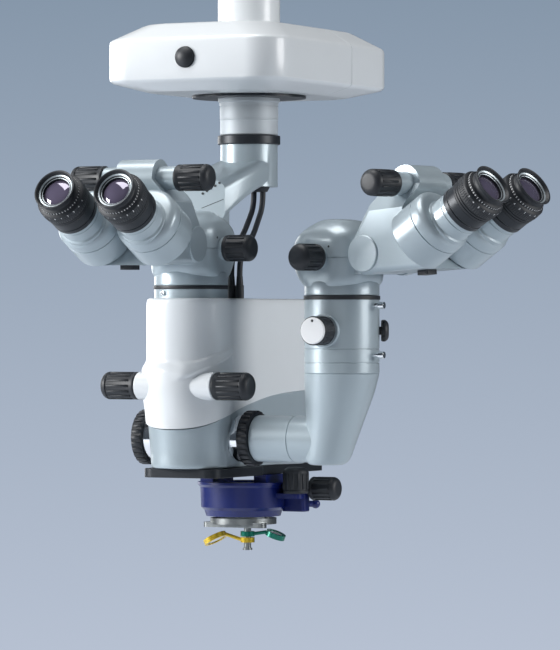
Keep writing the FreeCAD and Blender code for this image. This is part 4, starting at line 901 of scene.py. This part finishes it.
swoosh = {
    "upper": [(-90, -377.5), (-30, -378), (0, -379), (28, -380.6), (64, -372.6), (96, -364), (120, -358)],
    "lower": [(-90, -400), (0, -400), (16, -396.6), (40, -388.6), (62, -382.3), (92, -372), (120, -364)],
    "rise": 2.2, "ends": (4, 22, 90, 104), "soft": 2.4}
flare = {"rise": 4.6, "reach": 12.0, "behind": 12.0, "turnsIn": (4, 44), "least": 0.3, "axis": -404.0,
         "fades": 36.0, "left": 0.7}


# a smooth line through (x, y) points, as a function of x
def through(points):
    def value(x):
        x = min(max(x, points[0][0]), points[-1][0])
        i = max(k for k in range(len(points) - 1) if points[k][0] <= x)
        (x0, y0), (x1, y1) = points[i], points[i + 1]
        before = points[i - 1] if i else (2 * x0 - x1, 2 * y0 - y1)
        after = points[i + 2] if i + 2 < len(points) else (2 * x1 - x0, 2 * y1 - y0)
        m0 = (y1 - before[1]) / (x1 - before[0]) * (x1 - x0)
        m1 = (after[1] - y0) / (after[0] - x0) * (x1 - x0)
        t = (x - x0) / (x1 - x0)
        ends = (2 * t**3 - 3 * t**2 + 1) * y0 + (3 * t**2 - 2 * t**3) * y1
        return ends + (t**3 - 2 * t**2 + t) * m0 + (t**3 - t**2) * m1
    return value


# points on the circle through a, b and c, from a to just short of c
def arcThrough(a, b, c, count):
    (ax, ay), (bx, by), (cx, cy) = a, b, c
    d = 2 * (ax * (by - cy) + bx * (cy - ay) + cx * (ay - by))
    ux = ((ax**2 + ay**2) * (by - cy) + (bx**2 + by**2) * (cy - ay) + (cx**2 + cy**2) * (ay - by)) / d
    uy = ((ax**2 + ay**2) * (cx - bx) + (bx**2 + by**2) * (ax - cx) + (cx**2 + cy**2) * (bx - ax)) / d
    r = math.hypot(ax - ux, ay - uy)
    start, mid, end = (math.atan2(y - uy, x - ux) for x, y in (a, b, c))
    sweep = (end - start) % (2 * math.pi)
    if (mid - start) % (2 * math.pi) > sweep:
        sweep -= 2 * math.pi
    turns = [start + sweep * i / count for i in range(count)]
    return [(ux + r * math.cos(turn), uy + r * math.sin(turn)) for turn in turns]


def headPlan(front, waist, half, back):
    fy, wy, corner = head["frontY"], head["waistY"], head["corner"]
    cut = corner * (1 - math.sqrt(0.5))
    near = back - corner
    loop = arcThrough((front, fy), (0, fy - front), (-front, fy), 64)
    loop += arcThrough((-front, fy), (-waist, wy), (-half, near), 40)
    loop += arcThrough((-half, near), (-half + cut, back - cut), (-half + corner, back), 12)
    loop += [(-half + corner + (2 * (half - corner)) * i / 8, back) for i in range(8)]
    loop += arcThrough((half - corner, back), (half - cut, back - cut), (half, near), 12)
    loop += arcThrough((half, near), (waist, wy), (front, fy), 40)
    return loop


def planSizes(levels, z):
    return [through([(level, levels[level][k]) for level in sorted(levels)])(z) for k in range(4)]


def smoothStep(t):
    t = min(max(t, 0.0), 1.0)
    return t * t * (3 - 2 * t)


# how far the cover stands out at a place on its nose: a flare round the front and a ridge up to the right
def swooshRise(x, y, z):
    if y > head["frontY"] + flare["behind"]:
        return 0.0
    angle = math.degrees(math.atan2(x, head["frontY"] - y))
    high, low = through(swoosh["upper"])(angle), through(swoosh["lower"])(angle)
    a, b, c, d = swoosh["ends"]
    soft = swoosh["soft"]
    along = smoothStep((angle - a) / (b - a)) * (1 - smoothStep((angle - c) / (d - c)))
    band = smoothStep((high - z) / soft + 0.5) * smoothStep((z - low) / soft + 0.5)
    a, b = flare["turnsIn"]
    weight = 1 - (1 - flare["least"]) * smoothStep((angle - a) / (b - a))
    weight *= 1 - smoothStep((y - head["frontY"]) / flare["behind"])
    fade = 1 - flare["left"] * smoothStep((flare["axis"] - z) / flare["fades"])
    swell = smoothStep((high - z) / flare["reach"]) * fade
    return swoosh["rise"] * along * band + flare["rise"] * weight * swell


# a closed skin through the head's plans; rowsAt gives the heights of one column of points
def hull(name, levels, rowsAt, rise=None):
    work = bmesh.new()
    plan = headPlan(*planSizes(levels, max(levels)))
    grid = []
    for index, start in enumerate(plan):
        column = []
        for z in rowsAt(start[1]):
            px, py = headPlan(*planSizes(levels, z))[index]
            out = rise(px, py, z) if rise else 0.0
            if out:
                away = Vector((px, py - head["frontY"])).normalized() * out
                px, py = px + away.x, py + away.y
            column.append(work.verts.new((px * mm, py * mm, z * mm)))
        grid.append(column)
    for left, right in zip(grid, grid[1:] + grid[:1]):
        for i in range(len(left) - 1):
            work.faces.new((left[i], right[i], right[i + 1], left[i + 1]))
    work.faces.new([column[0] for column in grid])
    work.faces.new([column[-1] for column in grid])
    return meshOf(work, name, 32)


# the mesh with each cutter taken out of it
def carved(mesh, cutters):
    obj = bpy.data.objects.new("carved", mesh)
    bpy.context.scene.collection.objects.link(obj)
    tools = []
    for cutter in cutters:
        tool = bpy.data.objects.new("cutter", cutter)
        bpy.context.scene.collection.objects.link(tool)
        tools.append(tool)
        cut = obj.modifiers.new("cut", "BOOLEAN")
        cut.operation = "DIFFERENCE"
        cut.solver = "EXACT"
        cut.object = tool
    mesh = finished(obj)
    for tool in tools:
        bpy.data.objects.remove(tool)
    return mesh


def rod(radius, start, end, segments=64):
    a, b = Vector(start), Vector(end)
    high = (b - a).length
    mesh = latheMesh("rod", [(0, 0), (radius, 0), (radius, high), (0, high)], segments, 0, False)
    return transformed(mesh, frameAt(start, b - a))


def coverRows(y):
    low, lip, shoulder = through(head["seam"])(y), head["lip"], head["shoulder"]
    foot = low + lip
    side = [foot + (shoulder[0] - 1.5 - foot) * i / 74 for i in range(1, 75)]
    return [low, low + lip * 0.5, foot] + side + list(shoulder)


def baseRows(y):
    high, lip, foot = through(head["seam"])(y), head["lip"], head["feet"][-1]
    rise = [foot + (high - lip - foot) * i / 30 for i in range(1, 31)]
    return list(head["feet"]) + rise + [high - lip * 0.5, high]


def makeHead():
    top, bottom, bore = head["top"], head["bottom"], head["shaftR"]
    hy, hz, hr, reach = head["horn"]
    px, py, wide, deep, low = head["pocket"]
    pocket = boxMesh((px, py, (low + top) / 2 + 2), (wide, deep, top - low + 4), 6)
    cover = carved(hull("body_cover", head["cover"], coverRows, swooshRise),
                   [pocket, rod(bore, (-60, hy, hz), (60, hy, hz))])
    horn = [(bore, -reach), (hr - 0.8, -reach), (hr, 0.8 - reach), (hr, reach - 0.8), (hr - 0.8, reach),
            (bore, reach)]
    dress("body_cover", "shell", cover, "white_paint")
    horns = transformed(latheMesh("horns", horn, 96, 0.2), frameAt((0, hy, hz), (1, 0, 0)))
    addPiece("body_cover_horns", horns, "head", "white_paint")
    y, z = ports["y"], ports["z"]
    portR, near, far = head["portR"]
    cutters = [rod(head["lensR"], (0, y, bottom - 2), (0, y, bottom + 12))]
    cutters += [rod(portR, (-far, y, z), (-near, y, z)), rod(portR, (near, y, z), (far, y, z))]
    base = carved(hull("body_base", head["base"], baseRows), cutters)
    dress("body_base", "shell", base, slotOfNode["body_base"])


# a box whose upright edges are rounded by corner
def boxMesh(centre, size, corner=0.0, segments=6):
    work = bmesh.new()
    bmesh.ops.create_cube(work, size=1)
    for vertex in work.verts:
        vertex.co = Vector([c * s for c, s in zip(vertex.co, size)]) + Vector(centre)
    if corner:
        upright = [edge for edge in work.edges if abs(edge.verts[0].co.z - edge.verts[1].co.z) > 0.1]
        bmesh.ops.bevel(work, geom=upright, offset=corner, segments=segments, affect="EDGES", profile=0.5)
    for vertex in work.verts:
        vertex.co *= mm
    return meshOf(work, "box", 30)


# the coupling housing: plans as (height, inset), with soft edges between its faces
housing = {
    "half": (98.0, 135.0), "corner": 34.0, "wall": 4.0, "middle": -85, "seamY": 34.0, "seamGap": 0.35,
    "levels": [(-116, 31), (-115.7, 29), (-115, 26.4), (-109, 6.4), (-107.6, 2.6), (-105.6, 0.6), (-103, 0),
               (-69.5, 0), (-67, 0.5), (-65.2, 2.0), (-63.6, 4.6), (-51.2, 24), (-50, 26.4),
               (-49.3, 28.6), (-49, 31)],
    "window": ((0, -3.5, -112), (88, 81, 16), 14), "columnR": 31.3, "buttonR": 10.4, "buttonZ": -85.0,
    "column": [(22, -0.4), (30.2, -0.4), (31, -1.2), (31, -53), (44, -53), (44, -61), (0, -61), (0, -59.5),
               (22, -59.5)]}
seatRing = {"y": -122, "outline": [(33, -310.3), (36.5, -310.3), (36.6, -310), (36.6, -307), (36.5, -306.8),
                                   (33, -306.8)]}


def plateLoop(hx, hy, r, count=14):
    points = []
    x, y = hx - r, hy - r
    for cx, cy, start in ((x, y, 0), (-x, y, 90), (-x, -y, 180), (x, -y, 270)):
        for i in range(count + 1):
            turn = math.radians(start + 90 * i / count)
            points.append((cx + r * math.cos(turn), cy + r * math.sin(turn)))
    return points


# a closed skin over loops with equal point counts
def stack(name, loops, angle=32):
    work = bmesh.new()
    rings = [[work.verts.new(Vector(point) * mm) for point in loop] for loop in loops]
    for low, high in zip(rings, rings[1:]):
        for i in range(len(low)):
            j = (i + 1) % len(low)
            work.faces.new((low[i], low[j], high[j], high[i]))
    work.faces.new(rings[0])
    work.faces.new(rings[-1])
    return meshOf(work, name, angle)


def housingForm(wall):
    hx, hy = housing["half"]
    loops = []
    for z, inset in housing["levels"]:
        z += wall if z < housing["middle"] else -wall
        plan = plateLoop(hx - inset - wall, hy - inset - wall, housing["corner"] - wall)
        loops.append([(x, y, z) for x, y in plan])
    return stack("form", loops)


def makeHousing():
    front, z = -housing["half"][1], housing["buttonZ"]
    window = boxMesh(*housing["window"])
    shaft = rod(housing["columnR"], (0, 0, -60), (0, 0, 0), 128)
    hole = rod(housing["buttonR"], (0, front - 5, z), (0, front + 9, z), 96)
    seam, gap = housing["seamY"], housing["seamGap"]
    for node, side in (("coupling_housing", 1), ("coupling_end_cap", -1)):
        beyond = boxMesh((0, seam + side * (150 - gap), -80), (400, 300, 200))
        cutters = [housingForm(housing["wall"]), window, shaft.copy(), hole.copy(), beyond]
        obj = bpy.data.objects.new("work", carved(housingForm(0), cutters))
        bpy.context.scene.collection.objects.link(obj)
        softenEdges(obj, 0.35)
        dress(node, "shell", finished(obj), "white_paint")
    turned("column", housing["column"], edge=0)
    seat = Matrix.Translation((0, seatRing["y"] * mm, 0))
    ring = transformed(latheMesh("ring", seatRing["outline"], 128, 0), seat)
    addPiece("tube_seat_ring", ring, "head", "black_plastic")


# the row of small screws on the arm's front face, as (x, z), and the seam below them
arm = {"face": -74.5, "screws": [(6.0, -205.4), (1.3, -208.0), (-3.4, -210.5), (-8.0, -213.0), (-12.6, -215.6)],
       "screwR": 1.25, "sunk": 0.3, "proud": 0.5, "seam": ((10.6, -221.4), (-14.0, -229.9)), "seamR": 0.3}


def makeArmTrim():
    y = arm["face"]
    inner, outer = y + arm["sunk"], y - arm["proud"]
    trim = [rod(arm["screwR"], (x, inner, z), (x, outer, z), 24) for x, z in arm["screws"]]
    (x0, z0), (x1, z1) = arm["seam"]
    trim.append(rod(arm["seamR"], (x0, y - 0.05, z0), (x1, y - 0.05, z1), 12))
    addPiece("arm_screws", joined("arm_screws", [(piece, still) for piece in trim]), "arm", "black_plastic")


# the two cables from the arm's grommet to the sockets on the head; "ends" are where the bend starts and stops
cables = {
    "diameter": 5.6, "ends": (-226, -283),
    "cable_a": [(4, 3, -212), (4, 3, -226), (5.5, -12, -242), (8.5, -28, -254), (11.5, -44, -263),
                (15, -60, -271), (16.5, -69, -283), (16.5, -69, -297)],
    "cable_b": [(14, 3, -212), (14, 3, -226), (15, -10, -242), (18, -25, -255), (21.5, -41, -263),
                (24.5, -58, -270), (25.5, -69, -282), (25.5, -69, -297)]}


# a smooth line through the route's control points, as a tube when a radius is given
def routeCurve(name, route, radius):
    curve = bpy.data.curves.new(name, "CURVE")
    curve.dimensions = "3D"
    curve.bevel_depth = radius * mm
    curve.bevel_resolution = 6
    curve.resolution_u = 12
    curve.use_fill_caps = True
    spline = curve.splines.new("NURBS")
    spline.points.add(len(route) - 1)
    for point, place in zip(spline.points, route):
        point.co = (*[value * mm for value in place], 1)
    spline.order_u = 3
    spline.use_endpoint_u = True
    obj = bpy.data.objects.new(name, curve)
    bpy.context.scene.collection.objects.link(obj)
    return finished(obj)


def makeCables():
    for name in ("cable_a", "cable_b"):
        route = cables[name]
        line = [vertex.co.copy() for vertex in routeCurve(name + "_path", route, 0).vertices]
        mesh = routeCurve(name + "_line", route, cables["diameter"] / 2)
        mesh.materials.clear()
        mesh.materials.append(materials["black_rubber"])
        for face in mesh.polygons:
            face.use_smooth = True
        obj = bpy.data.objects.new(name + "_line", mesh)
        bpy.context.scene.collection.objects.link(obj)
        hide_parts(name)
        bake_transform(obj)


makeCamera()
print("camera placed")
makeStudio()
makeFloor()
print("studio lit")
for node, places in knobs["fixed"]:
    makeKnobs(node, places)
print("knobs turned")
for name in ("surgeon", "assistant"):
    makeTube(name)
print("eyepieces made")
makeSwivel()
makeObserver()
makePorts()
makeElbow()
makeViewerBracket()
print("round pieces turned")
makeHead()
print("head made")
makeHousing()
makeArmTrim()
print("housing made")
skins = dressNodes()
print("solids dressed")
makeCables()
print("cables laid")
